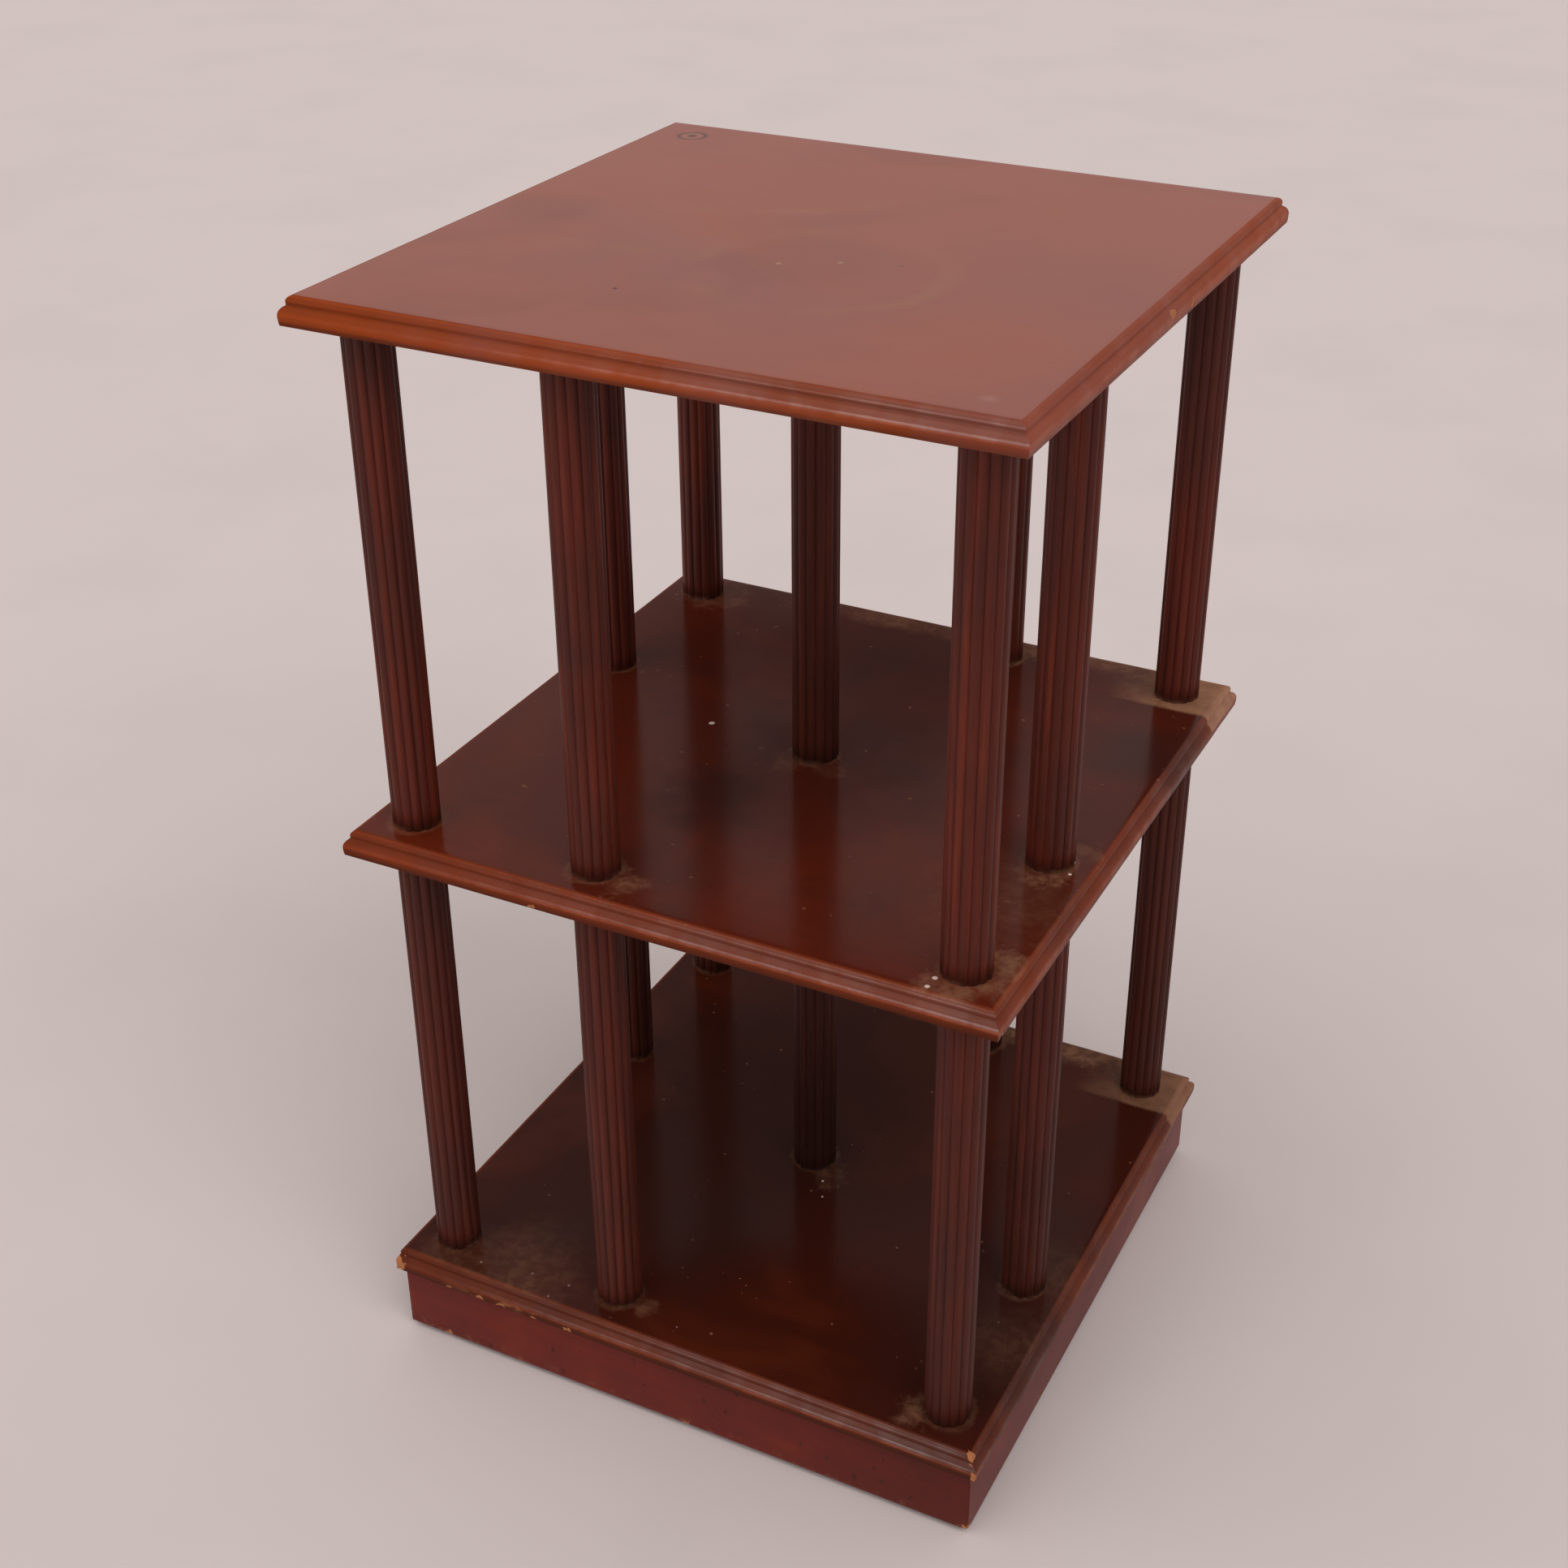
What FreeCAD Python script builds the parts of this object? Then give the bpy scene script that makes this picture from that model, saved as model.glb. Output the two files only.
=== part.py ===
"""Square revolving bookcase: moulded boards on reeded columns, with a plinth that turns on a hidden foot.

Millimetres, +Z up, +X along the front edge and +Y to the back. The origin is on the floor, on the
turning axis.
"""
import FreeCAD, Part
import math
import os
import Sketcher

V = FreeCAD.Vector
Z_DIRECTION = V(0, 0, 1)

# Driving sizes: alias, value. Lengths in millimetres.
DRIVING_SIZES = [
    # boards and their moulding
    ("board_side", 480),
    ("board_thickness", 18),
    ("arris_inset", 8),
    ("bead_radius", 4),
    ("quirk_depth", 2),
    ("swell_depth", 12),
    ("foot_inset", 0.6),
    # columns
    ("column_diameter", 33.4),
    ("column_length", 354),
    ("reed_radius", 4.2),
    ("reed_count", 14),
    ("column_edge_gap", 20),
    ("pinwheel_offset", 61),
    # joints between boards and columns
    ("joint_gap", 0.1),
    ("board_skin", 6),
    ("dowel_diameter", 10),
    ("dowel_in_column", 25),
    ("column_screw_diameter", 5),
    ("column_screw_head", 10),
    ("column_screw_reach", 42),
    # plinth
    ("floor_gap", 5),
    ("plinth_height", 55.5),
    ("plinth_setback", 6),
    ("plinth_thickness", 18),
    ("block_leg", 52),
    ("block_lift", 15.5),
    ("block_screw_diameter", 4.5),
    ("block_screw_head", 9),
    # ball race
    ("turntable_clearance", 46),
    ("race_corner_margin", 7),
    ("race_rim", 30),
    ("race_thickness", 2),
    ("race_bore_clearance", 10),
    ("groove_depth", 0.7),
    ("ball_diameter", 8),
    ("ball_count", 24),
    ("ball_gap", 0.2),
    ("cage_margin", 3),
    ("cage_thickness", 1.6),
    ("race_screw_margin", 15),
    ("race_screw_diameter", 4),
    ("race_screw_head", 8),
    ("race_screw_head_height", 2.4),
    # spindle and its fittings
    ("spindle_diameter", 16),
    ("spindle_shoulder", 2),
    ("flange_lip", 20),
    ("flange_thickness", 4),
    ("flange_screw_margin", 8),
    ("flange_screw_diameter", 4),
    ("flange_screw_head", 8),
    ("running_gap", 0.05),
    ("end_gap", 0.3),
    ("bush_wall", 4),
    ("bush_collar_lip", 6),
    ("bush_collar_thickness", 2.5),
    ("washer_lip", 7),
    ("washer_thickness", 2.5),
    ("nut_wall", 3.5),
    ("nut_height", 9),
    ("castle_depth", 4),
    ("castle_slot_width", 3),
    ("split_pin_diameter", 2.4),
    ("split_pin_spare", 3),
    ("split_pin_eye", 2.6),
    ("thread_stand_out", 0.8),
    # fixed foot
    ("turntable_thickness", 15),
    ("turntable_skin", 4),
    ("turntable_screw_margin", 25),
    ("turntable_screw_diameter", 4.5),
    ("turntable_screw_head", 9),
    ("nut_recess_gap", 4),
    ("nut_recess_wall", 6),
    ("foot_swing_clearance", 16),
    ("foot_rail_cover", 11.5),
    ("glide_end_margin", 18),
    ("glide_diameter", 28),
    ("glide_height", 5),
    ("glide_edge_round", 1.5),
    ("nail_diameter", 2.5),
    ("nail_head_diameter", 6),
    ("nail_head_thickness", 1),
    ("nail_seat", 2),
]

# Sizes worked out from the driving ones: alias, spreadsheet formula.
DERIVED_SIZES = [
    ("board_half", "=board_side / 2"),
    ("board_reach", "=board_thickness - board_skin"),
    ("column_radius", "=column_diameter / 2"),
    ("reed_ring_radius", "=column_radius - reed_radius"),
    ("column_offset", "=board_half - column_edge_gap - column_radius"),
    ("plinth_half", "=board_half - plinth_setback"),
    ("plinth_inner_half", "=plinth_half - plinth_thickness"),
    ("block_height", "=plinth_height - block_lift"),
    ("block_screw_near", "=plinth_inner_half - block_leg * 0.18"),
    ("block_screw_far", "=plinth_inner_half - block_leg * 0.6"),
    ("bottom_board_level", "=floor_gap + plinth_height"),
    ("lower_column_level", "=bottom_board_level + board_thickness"),
    ("middle_shelf_level", "=lower_column_level + column_length"),
    ("upper_column_level", "=middle_shelf_level + board_thickness"),
    ("top_board_level", "=upper_column_level + column_length"),
    ("turntable_radius", "=plinth_inner_half - turntable_clearance"),
    ("race_half", "=(turntable_radius - race_corner_margin) / sqrt(2)"),
    ("race_pitch_radius", "=race_half - race_rim"),
    ("race_screw_offset", "=race_half - race_screw_margin"),
    ("race_gap", "=ball_diameter + 2 * ball_gap - 2 * groove_depth"),
    ("upper_race_level", "=bottom_board_level - race_thickness"),
    ("ball_level", "=upper_race_level - race_gap / 2"),
    ("lower_race_face", "=upper_race_level - race_gap"),
    ("lower_race_level", "=lower_race_face - race_thickness"),
    ("spindle_radius", "=spindle_diameter / 2"),
    ("thread_radius", "=spindle_radius - spindle_shoulder"),
    ("flange_radius", "=spindle_radius + flange_lip"),
    ("flange_screw_ring", "=flange_radius - flange_screw_margin"),
    ("flange_level", "=bottom_board_level - flange_thickness"),
    ("race_bore_radius", "=flange_radius + race_bore_clearance"),
    ("bush_bore_radius", "=spindle_radius + running_gap"),
    ("bush_radius", "=bush_bore_radius + bush_wall"),
    ("bush_collar_radius", "=bush_radius + bush_collar_lip"),
    ("bush_top_level", "=lower_race_level + bush_collar_thickness"),
    ("turntable_level", "=lower_race_level - turntable_thickness"),
    ("turntable_reach", "=turntable_thickness - turntable_skin"),
    ("turntable_screw_ring", "=turntable_radius - turntable_screw_margin"),
    ("foot_rail_height", "=turntable_level - glide_height"),
    ("foot_rail_half_length", "=plinth_inner_half - foot_swing_clearance"),
    ("foot_rail_reach", "=foot_rail_height - foot_rail_cover"),
    ("lap_height", "=foot_rail_height / 2"),
    ("lap_level", "=glide_height + lap_height"),
    ("washer_radius", "=spindle_radius + washer_lip"),
    ("washer_top_level", "=lap_level - end_gap"),
    ("nut_recess_radius", "=washer_radius + nut_recess_gap"),
    ("foot_rail_half_width", "=nut_recess_radius + nut_recess_wall"),
    ("nut_half_flats", "=thread_radius + nut_wall"),
    ("nut_top_level", "=washer_top_level - washer_thickness"),
    ("nut_level", "=nut_top_level - nut_height"),
    ("split_pin_length", "=2 * nut_half_flats + split_pin_spare"),
    ("split_pin_level", "=nut_level + castle_depth / 2"),
    ("spindle_end_level", "=nut_level - thread_stand_out"),
    ("glide_ring", "=foot_rail_half_length - glide_end_margin"),
    ("nail_length", "=glide_height - nail_seat + foot_rail_reach"),
]

doc = FreeCAD.newDocument("revolving_bookcase")
sheet = doc.addObject("Spreadsheet::Sheet", "sizes")
PARTS = []


def fill_sheet():
    """Write every size into the sheet, one row each, with its alias."""
    rows = [(alias, str(number)) for alias, number in DRIVING_SIZES] + DERIVED_SIZES
    for row, (alias, content) in enumerate(rows, start=1):
        sheet.set(f"A{row}", alias)
        sheet.set(f"B{row}", content)
        sheet.setAlias(f"B{row}", alias)
    doc.recompute()


class Size:
    """A length kept twice: as an expression on the sheet, and as the number that it gives now."""

    def __init__(self, text, number):
        self.text = text
        self.number = number

    def join(self, sign, other, number):
        return Size(f"({self.text} {sign} {as_size(other).text})", number)

    def __add__(self, other):
        return self.join("+", other, self.number + as_size(other).number)

    def __sub__(self, other):
        return self.join("-", other, self.number - as_size(other).number)

    def __mul__(self, other):
        return self.join("*", other, self.number * as_size(other).number)

    def __truediv__(self, other):
        return self.join("/", other, self.number / as_size(other).number)

    def __neg__(self):
        return self * -1


def as_size(given):
    return given if isinstance(given, Size) else Size(str(given), given)


def size(alias):
    return Size(f"sizes.{alias}", float(sheet.get(alias)))


def bind(item, **properties):
    """Tie properties of a document object to the sheet."""
    for name, given in properties.items():
        item.setExpression(name, as_size(given).text)


def place(item, x=0, y=0, z=0, turn=0):
    """Set an object's Placement: turned about Z, with its base tied to the sheet."""
    base = [as_size(given) for given in (x, y, z)]
    spot = V(*[given.number for given in base])
    item.Placement = FreeCAD.Placement(spot, FreeCAD.Rotation(Z_DIRECTION, turn))
    for axis, given in zip("xyz", base):
        item.setExpression(f"Placement.Base.{axis}", given.text)


def new_body(label):
    body = doc.addObject("PartDesign::Body", label)
    body.Label = label
    PARTS.append(body)
    return body


def origin_item(body, role):
    return [item for item in body.Origin.OriginFeatures if item.Role == role][0]


def new_sketch(body, name, role="XY_Plane", height=0):
    """A sketch on one of the body's own origin planes, lifted by a height along the plane's normal."""
    sketch = body.newObject("Sketcher::SketchObject", f"{body.Name}_{name}")
    sketch.AttachmentSupport = (origin_item(body, role), [""])
    sketch.MapMode = "FlatFace"
    lift = as_size(height)
    sketch.AttachmentOffset = FreeCAD.Placement(V(0, 0, lift.number), FreeCAD.Rotation())
    sketch.setExpression("AttachmentOffset.Base.z", lift.text)
    return sketch


def fix(sketch, kind, *where, given):
    """Add a dimension to a sketch and tie it to the sheet."""
    given = as_size(given)
    index = sketch.addConstraint(Sketcher.Constraint(kind, *where, given.number))
    sketch.setExpression(f"Constraints[{index}]", given.text)


def fix_point(sketch, edge, point, x, y):
    fix(sketch, "DistanceX", -1, 1, edge, point, given=x)
    fix(sketch, "DistanceY", -1, 1, edge, point, given=y)


def circle(sketch, radius, x=0, y=0):
    centre = V(as_size(x).number, as_size(y).number, 0)
    edge = sketch.addGeometry(Part.Circle(centre, Z_DIRECTION, as_size(radius).number))
    fix_point(sketch, edge, 3, x, y)
    fix(sketch, "Radius", edge, given=radius)


def circles(sketch, radius, places):
    for x, y in places:
        circle(sketch, radius, x, y)


def outline(sketch, corners, arcs=None):
    """A closed outline through its corners. arcs maps the index of a stretch to its radius and side.

    A stretch runs from its corner to the next one. Side +1 bulges to the left of the way it runs, -1 to
    the right.
    """
    arcs = arcs or {}
    points = [V(as_size(x).number, as_size(y).number, 0) for x, y in corners]
    edges = []
    for index, start in enumerate(points):
        end = points[(index + 1) % len(points)]
        if index in arcs:
            radius, side = arcs[index]
            chord = end - start
            half = chord.Length / 2
            rise = radius.number - math.sqrt(max(radius.number ** 2 - half ** 2, 0))
            left = V(-chord.y, chord.x, 0).normalize()
            edges.append(Part.Arc(start, (start + end) * 0.5 + left * rise * side, end))
        else:
            edges.append(Part.LineSegment(start, end))
    first = sketch.addGeometry(edges)[0]
    for index, (x, y) in enumerate(corners):
        start_point = start_of(sketch, first + index, points[index])
        last = first + (index - 1) % len(corners)
        end_point = 3 - start_of(sketch, last, points[(index - 1) % len(corners)])
        sketch.addConstraint(Sketcher.Constraint("Coincident", last, end_point, first + index, start_point))
        fix_point(sketch, first + index, start_point, x, y)
        if index in arcs:
            fix(sketch, "Radius", first + index, given=arcs[index][0])


def start_of(sketch, edge, corner):
    """1 or 2: the end of the edge that lies at the corner. Arcs may be stored the other way round."""
    return 1 if sketch.getPoint(edge, 1).distanceToPoint(corner) < 1e-6 else 2


def rectangle(sketch, x_low, y_low, x_high, y_high):
    outline(sketch, [(x_low, y_low), (x_high, y_low), (x_high, y_high), (x_low, y_high)])


def pad(body, sketch, length, down=False, taper=0):
    feature = body.newObject("PartDesign::Pad", f"{sketch.Name}_pad")
    feature.Profile = sketch
    feature.Reversed = down
    feature.TaperAngle = taper
    bind(feature, Length=length)
    body.Tip = feature
    return feature


def pocket(body, sketch, depth, up=False, taper=0):
    """Cut below the sketch, or above it."""
    feature = body.newObject("PartDesign::Pocket", f"{sketch.Name}_cut")
    feature.Profile = sketch
    feature.Reversed = up
    feature.TaperAngle = taper
    bind(feature, Length=depth)
    body.Tip = feature
    return feature


def drill(body, name, radius, places, floor, depth):
    """Round holes that start at a height of the body and run upwards."""
    sketch = new_sketch(body, name, height=floor)
    circles(sketch, radius, places)
    pocket(body, sketch, depth, up=True)


def sink(body, name, head, shank, places, face, upwards):
    """Countersinks at 45 degrees: head radius at the face, shank radius at the cone's end."""
    sketch = new_sketch(body, name, height=face)
    circles(sketch, head, places)
    pocket(body, sketch, head - shank, up=upwards, taper=-45)


def spin(body, sketch, kind="PartDesign::Revolution"):
    feature = body.newObject(kind, f"{sketch.Name}_spin")
    feature.Profile = sketch
    feature.ReferenceAxis = (origin_item(body, "Z_Axis"), [""])
    feature.Angle = 360
    body.Tip = feature
    return feature


def polar(body, feature, count):
    pattern = body.newObject("PartDesign::PolarPattern", f"{feature.Name}_ring")
    pattern.Originals = [feature]
    pattern.Axis = (origin_item(body, "Z_Axis"), [""])
    pattern.Angle = 360
    bind(pattern, Occurrences=count)
    body.Tip = pattern
    return pattern


def copy_of(master, label):
    """Another piece like the master, as a body with the master for its base."""
    body = new_body(label)
    base = body.newObject("PartDesign::FeatureBase", f"{label}_base")
    base.BaseFeature = master
    base.Placement = FreeCAD.Placement()
    body.Tip = base
    return body


def quarter_turns(x, y):
    """The same place four times round the axis."""
    return [(x, y), (-y, x), (-x, -y), (y, -x)]


def column_places():
    """Name and place of the nine columns of a tier: corners and centre, and four in a pinwheel."""
    out = size("column_offset")
    off = size("pinwheel_offset")
    corners = zip(("front_left", "front_right", "back_right", "back_left"), quarter_turns(-out, -out))
    pinwheel = zip(("front_mid", "right_mid", "back_mid", "left_mid"), quarter_turns(-off, -out))
    return list(corners) + list(pinwheel) + [("centre", (as_size(0), as_size(0)))]


def column_spots():
    return [spot for _, spot in column_places()]


def cross_places(out):
    return quarter_turns(out, as_size(0))


def two_ends(out):
    return [(out, as_size(0)), (-out, as_size(0))]


def hole_radius(diameter):
    """The radius of a hole that a dowel, screw or nail of this diameter fits."""
    return size(diameter) / 2 + size("joint_gap")


# ---- Boards ------------------------------------------------------

def moulding_waste(sketch, side):
    """What the moulding plane takes off one edge: a bead, a quirk and a larger swelling round below it."""
    half = size("board_half")
    top = size("board_thickness")
    arris = half - size("arris_inset")
    bead_side = arris + size("bead_radius")
    bead_foot = top - size("bead_radius")
    quirk = bead_foot - size("quirk_depth")
    swell = top - size("swell_depth")
    shoulder = half - bead_side
    drop = quirk - swell
    upper_radius = (shoulder * shoulder + drop * drop) / (shoulder * 2)
    lower_inset = size("foot_inset")
    lower_radius = (lower_inset * lower_inset + swell * swell) / (lower_inset * 2)
    outside = half + size("arris_inset")
    corners = [
        (arris, top),
        (bead_side, bead_foot),
        (bead_side, quirk),
        (half, swell),
        (half - lower_inset, as_size(0)),
        (outside, as_size(0)),
        (outside, top),
    ]
    arcs = {0: (size("bead_radius"), 1), 2: (upper_radius, 1), 3: (lower_radius, 1)}
    if side < 0:
        corners = [(-x, y) for x, y in corners]
        arcs = {index: (radius, -bulge) for index, (radius, bulge) in arcs.items()}
    outline(sketch, corners, arcs)


def moulded_board(label, level):
    """A square board, moulded along all four edges."""
    body = new_body(label)
    half = size("board_half")
    blank = new_sketch(body, "blank")
    rectangle(blank, -half, -half, half, half)
    pad(body, blank, size("board_thickness"))
    for role in ("XZ_Plane", "YZ_Plane"):
        waste = new_sketch(body, f"moulding_{role[:2]}", role)
        moulding_waste(waste, 1)
        moulding_waste(waste, -1)
        pocket(body, waste, size("board_side") * 2).Midplane = True
    place(body, z=level)
    return body


def top_board():
    body = moulded_board("top_board", size("top_board_level"))
    drill(body, "dowel_holes", hole_radius("dowel_diameter"), column_spots(), as_size(0),
          size("board_reach"))


def middle_shelf():
    body = moulded_board("middle_shelf", size("middle_shelf_level"))
    drill(body, "dowel_holes", hole_radius("dowel_diameter"), column_spots(), as_size(0),
          size("board_thickness"))


def bottom_board():
    """The bottom board takes screws from below: into columns, corner blocks, race plate and flange."""
    body = moulded_board("bottom_board", size("bottom_board_level"))
    shank = hole_radius("column_screw_diameter")
    drill(body, "column_screw_holes", shank, column_spots(), as_size(0), size("board_thickness"))
    sink(body, "column_screw_sinks", hole_radius("column_screw_head"), shank, column_spots(), as_size(0),
         upwards=True)
    pilots = [
        ("block_pilots", block_screw_spots(), "block_screw_diameter"),
        ("race_pilots", race_screw_spots(), "race_screw_diameter"),
        ("flange_pilots", cross_places(size("flange_screw_ring")), "flange_screw_diameter"),
    ]
    for name, spots, diameter in pilots:
        drill(body, name, hole_radius(diameter), spots, as_size(0), size("board_reach"))


# ---- Columns ------------------------------------------------------

def reeded_column(label, foot_radius, foot_depth):
    """A round column with convex reeds all round, bored at its head for a dowel and at its foot."""
    body = new_body(label)
    ring = size("reed_ring_radius")
    core = new_sketch(body, "core")
    circle(core, ring)
    pad(body, core, size("column_length"))
    reed = new_sketch(body, "reed")
    circle(reed, size("reed_radius"), ring, 0)
    polar(body, pad(body, reed, size("column_length")), size("reed_count"))
    axis = [(as_size(0), as_size(0))]
    head = size("column_length") - size("dowel_in_column")
    drill(body, "head_bore", hole_radius("dowel_diameter"), axis, head, size("dowel_in_column"))
    drill(body, "foot_bore", foot_radius, axis, as_size(0), foot_depth)
    return body


def column_tier(tier, level, foot_radius, foot_depth):
    """Nine columns of one tier: the first is modelled, and the others are copies in their own places."""
    master = None
    for name, (x, y) in column_places():
        label = f"{tier}_column_{name}"
        column = copy_of(master, label) if master else reeded_column(label, foot_radius, foot_depth)
        master = master or column
        place(column, x, y, level)


def columns():
    column_tier("upper", size("upper_column_level"), hole_radius("dowel_diameter"), size("dowel_in_column"))
    column_tier("lower", size("lower_column_level"), hole_radius("column_screw_diameter"),
                size("column_screw_reach"))


def pegs(label, level, diameter, length, spots):
    """Plain round pegs, all of one length, standing on one level."""
    body = new_body(label)
    sketch = new_sketch(body, "pegs")
    circles(sketch, size(diameter) / 2, spots)
    pad(body, sketch, length)
    place(body, z=level)


def dowels():
    deep = size("dowel_in_column")
    pegs("top_dowels", size("top_board_level") - deep, "dowel_diameter", deep + size("board_reach"),
         column_spots())
    pegs("shelf_dowels", size("middle_shelf_level") - deep, "dowel_diameter",
         deep + size("board_thickness") + deep, column_spots())


def flat_head_screws(label, level, kind, length, spots, upwards):
    """Countersunk screws: level is that of the head's flat face, and the shank runs away from it."""
    body = new_body(label)
    shank = size(f"{kind}_diameter") / 2
    head = size(f"{kind}_head") / 2
    shanks = new_sketch(body, "shanks")
    circles(shanks, shank, spots)
    pad(body, shanks, length, down=not upwards)
    heads = new_sketch(body, "heads")
    circles(heads, head, spots)
    pad(body, heads, head - shank, down=not upwards, taper=-45)
    place(body, z=level)


def pan_head_screws(label, face, kind, length, spots, upwards):
    """Round-headed screws: face is the level that the heads bear on."""
    body = new_body(label)
    shanks = new_sketch(body, "shanks")
    circles(shanks, size(f"{kind}_diameter") / 2, spots)
    pad(body, shanks, length, down=not upwards)
    heads = new_sketch(body, "heads")
    circles(heads, size(f"{kind}_head") / 2, spots)
    pad(body, heads, size(f"{kind}_head_height"), down=upwards)
    place(body, z=face)


def column_screws():
    flat_head_screws("column_screws", size("bottom_board_level"), "column_screw",
                     size("board_thickness") + size("column_screw_reach"), column_spots(), upwards=True)


# ---- Plinth -------------------------------------------------------

def plinth():
    """Four rails, mitred at the corners, each a quarter turn from the last."""
    out = size("plinth_half")
    inside = size("plinth_inner_half")
    for name, turn in (("front", 0), ("right", 90), ("back", 180), ("left", 270)):
        body = new_body(f"plinth_{name}_rail")
        plan = new_sketch(body, "plan")
        outline(plan, [(-out, -out), (out, -out), (inside, -inside), (-inside, -inside)])
        pad(body, plan, size("plinth_height"))
        place(body, z=size("floor_gap"), turn=turn)


def block_screw_spots():
    """Two screws to a corner block, one near each rail."""
    near = size("block_screw_near")
    far = size("block_screw_far")
    return quarter_turns(far, -near) + quarter_turns(near, -far)


def corner_blocks():
    """Three-cornered blocks that tie the plinth's mitres to the bottom board."""
    inside = size("plinth_inner_half")
    near_end = inside - size("block_leg")
    shank = hole_radius("block_screw_diameter")
    level = size("bottom_board_level") - size("block_height")
    spots = [(size("block_screw_far"), -size("block_screw_near")),
             (size("block_screw_near"), -size("block_screw_far"))]
    for name, turn in (("front_right", 0), ("back_right", 90), ("back_left", 180), ("front_left", 270)):
        body = new_body(f"plinth_block_{name}")
        plan = new_sketch(body, "plan")
        outline(plan, [(near_end, -inside), (inside, -inside), (inside, -near_end)])
        pad(body, plan, size("block_height"))
        drill(body, "screw_holes", shank, spots, as_size(0), size("block_height"))
        sink(body, "screw_sinks", hole_radius("block_screw_head"), shank, spots, as_size(0), upwards=True)
        place(body, z=level, turn=turn)
    flat_head_screws("plinth_block_screws", level, "block_screw",
                     size("block_height") + size("board_reach"), block_screw_spots(), upwards=True)


# ---- Ball race ----------------------------------------------------

def race_screw_spots():
    return quarter_turns(size("race_screw_offset"), size("race_screw_offset"))


def race_plate(label, level):
    """A square plate with a large hole, four screw holes and the ball groove on its inner face."""
    body = new_body(label)
    half = size("race_half")
    plan = new_sketch(body, "plan")
    rectangle(plan, -half, -half, half, half)
    circle(plan, size("race_bore_radius"))
    circles(plan, hole_radius("race_screw_diameter"), race_screw_spots())
    pad(body, plan, size("race_thickness"))
    section = new_sketch(body, "groove", "XZ_Plane")
    groove = size("ball_diameter") / 2 + size("ball_gap")
    circle(section, groove, size("race_pitch_radius"), size("ball_level") - level)
    spin(body, section, "PartDesign::Groove")
    place(body, z=level)


def ball_cage():
    """A flat ring with a round window for each ball."""
    body = new_body("ball_cage")
    pitch = size("race_pitch_radius")
    half_width = size("ball_diameter") / 2 + size("cage_margin")
    plan = new_sketch(body, "plan")
    circle(plan, pitch + half_width)
    circle(plan, pitch - half_width)
    pad(body, plan, size("cage_thickness"))
    window = new_sketch(body, "window")
    circle(window, hole_radius("ball_diameter"), pitch, 0)
    polar(body, pocket(body, window, size("cage_thickness"), up=True), size("ball_count"))
    place(body, z=size("ball_level") - size("cage_thickness") / 2)


def bearing_balls():
    body = new_body("bearing_balls")
    pitch = size("race_pitch_radius")
    radius = size("ball_diameter") / 2
    section = new_sketch(body, "half_ball", "XZ_Plane")
    rim = Part.Circle(V(pitch.number, 0, 0), Z_DIRECTION, radius.number)
    section.addGeometry(Part.ArcOfCircle(rim, -math.pi / 2, math.pi / 2))
    section.addGeometry(Part.LineSegment(section.getPoint(0, 2), section.getPoint(0, 1)))
    section.addConstraint(Sketcher.Constraint("Coincident", 0, 2, 1, 1))
    section.addConstraint(Sketcher.Constraint("Coincident", 0, 1, 1, 2))
    section.addConstraint(Sketcher.Constraint("PointOnObject", 0, 3, 1))
    section.addConstraint(Sketcher.Constraint("Vertical", 1))
    fix_point(section, 0, 3, pitch, 0)
    fix(section, "Radius", 0, given=radius)
    ball = body.newObject("PartDesign::Revolution", "bearing_ball")
    ball.Profile = section
    ball.ReferenceAxis = (section, ["Edge2"])
    ball.Angle = 360
    polar(body, ball, size("ball_count"))
    place(body, z=size("ball_level"))


def race():
    race_plate("upper_race_plate", size("upper_race_level"))
    race_plate("lower_race_plate", size("lower_race_level"))
    ball_cage()
    bearing_balls()
    pan_head_screws("upper_race_screws", size("upper_race_level"), "race_screw",
                    size("race_thickness") + size("board_reach"), race_screw_spots(), upwards=True)
    pan_head_screws("lower_race_screws", size("lower_race_face"), "race_screw",
                    size("race_thickness") + size("turntable_reach"), race_screw_spots(), upwards=False)


# ---- Spindle ------------------------------------------------------

def spindle():
    """A flanged steel spindle that hangs under the bottom board, with a thread at its lower end."""
    body = new_body("spindle")
    axis = as_size(0)
    shaft = size("spindle_radius")
    thread = size("thread_radius")
    flange = size("flange_radius")
    end = size("spindle_end_level")
    shoulder = size("washer_top_level")
    under = size("flange_level")
    top = size("bottom_board_level")
    section = new_sketch(body, "section", "XZ_Plane")
    outline(section, [(axis, end), (thread, end), (thread, shoulder), (shaft, shoulder), (shaft, under),
                      (flange, under), (flange, top), (axis, top)])
    spin(body, section)
    spots = cross_places(size("flange_screw_ring"))
    shank = hole_radius("flange_screw_diameter")
    drill(body, "screw_holes", shank, spots, under, size("flange_thickness"))
    sink(body, "screw_sinks", hole_radius("flange_screw_head"), shank, spots, under, upwards=True)
    cross = new_sketch(body, "pin_hole", "XZ_Plane")
    circle(cross, hole_radius("split_pin_diameter"), 0, size("split_pin_level"))
    pocket(body, cross, size("spindle_diameter")).Midplane = True
    place(body)
    flat_head_screws("spindle_screws", under, "flange_screw",
                     size("flange_thickness") + size("board_reach"), spots, upwards=True)


def spindle_bush():
    body = new_body("spindle_bush")
    bore = size("bush_bore_radius")
    outer = size("bush_radius")
    collar = size("bush_collar_radius")
    end = size("lap_level")
    seat = size("lower_race_level")
    top = size("bush_top_level")
    section = new_sketch(body, "section", "XZ_Plane")
    outline(section, [(bore, end), (outer, end), (outer, seat), (collar, seat), (collar, top), (bore, top)])
    spin(body, section)
    place(body)


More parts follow.
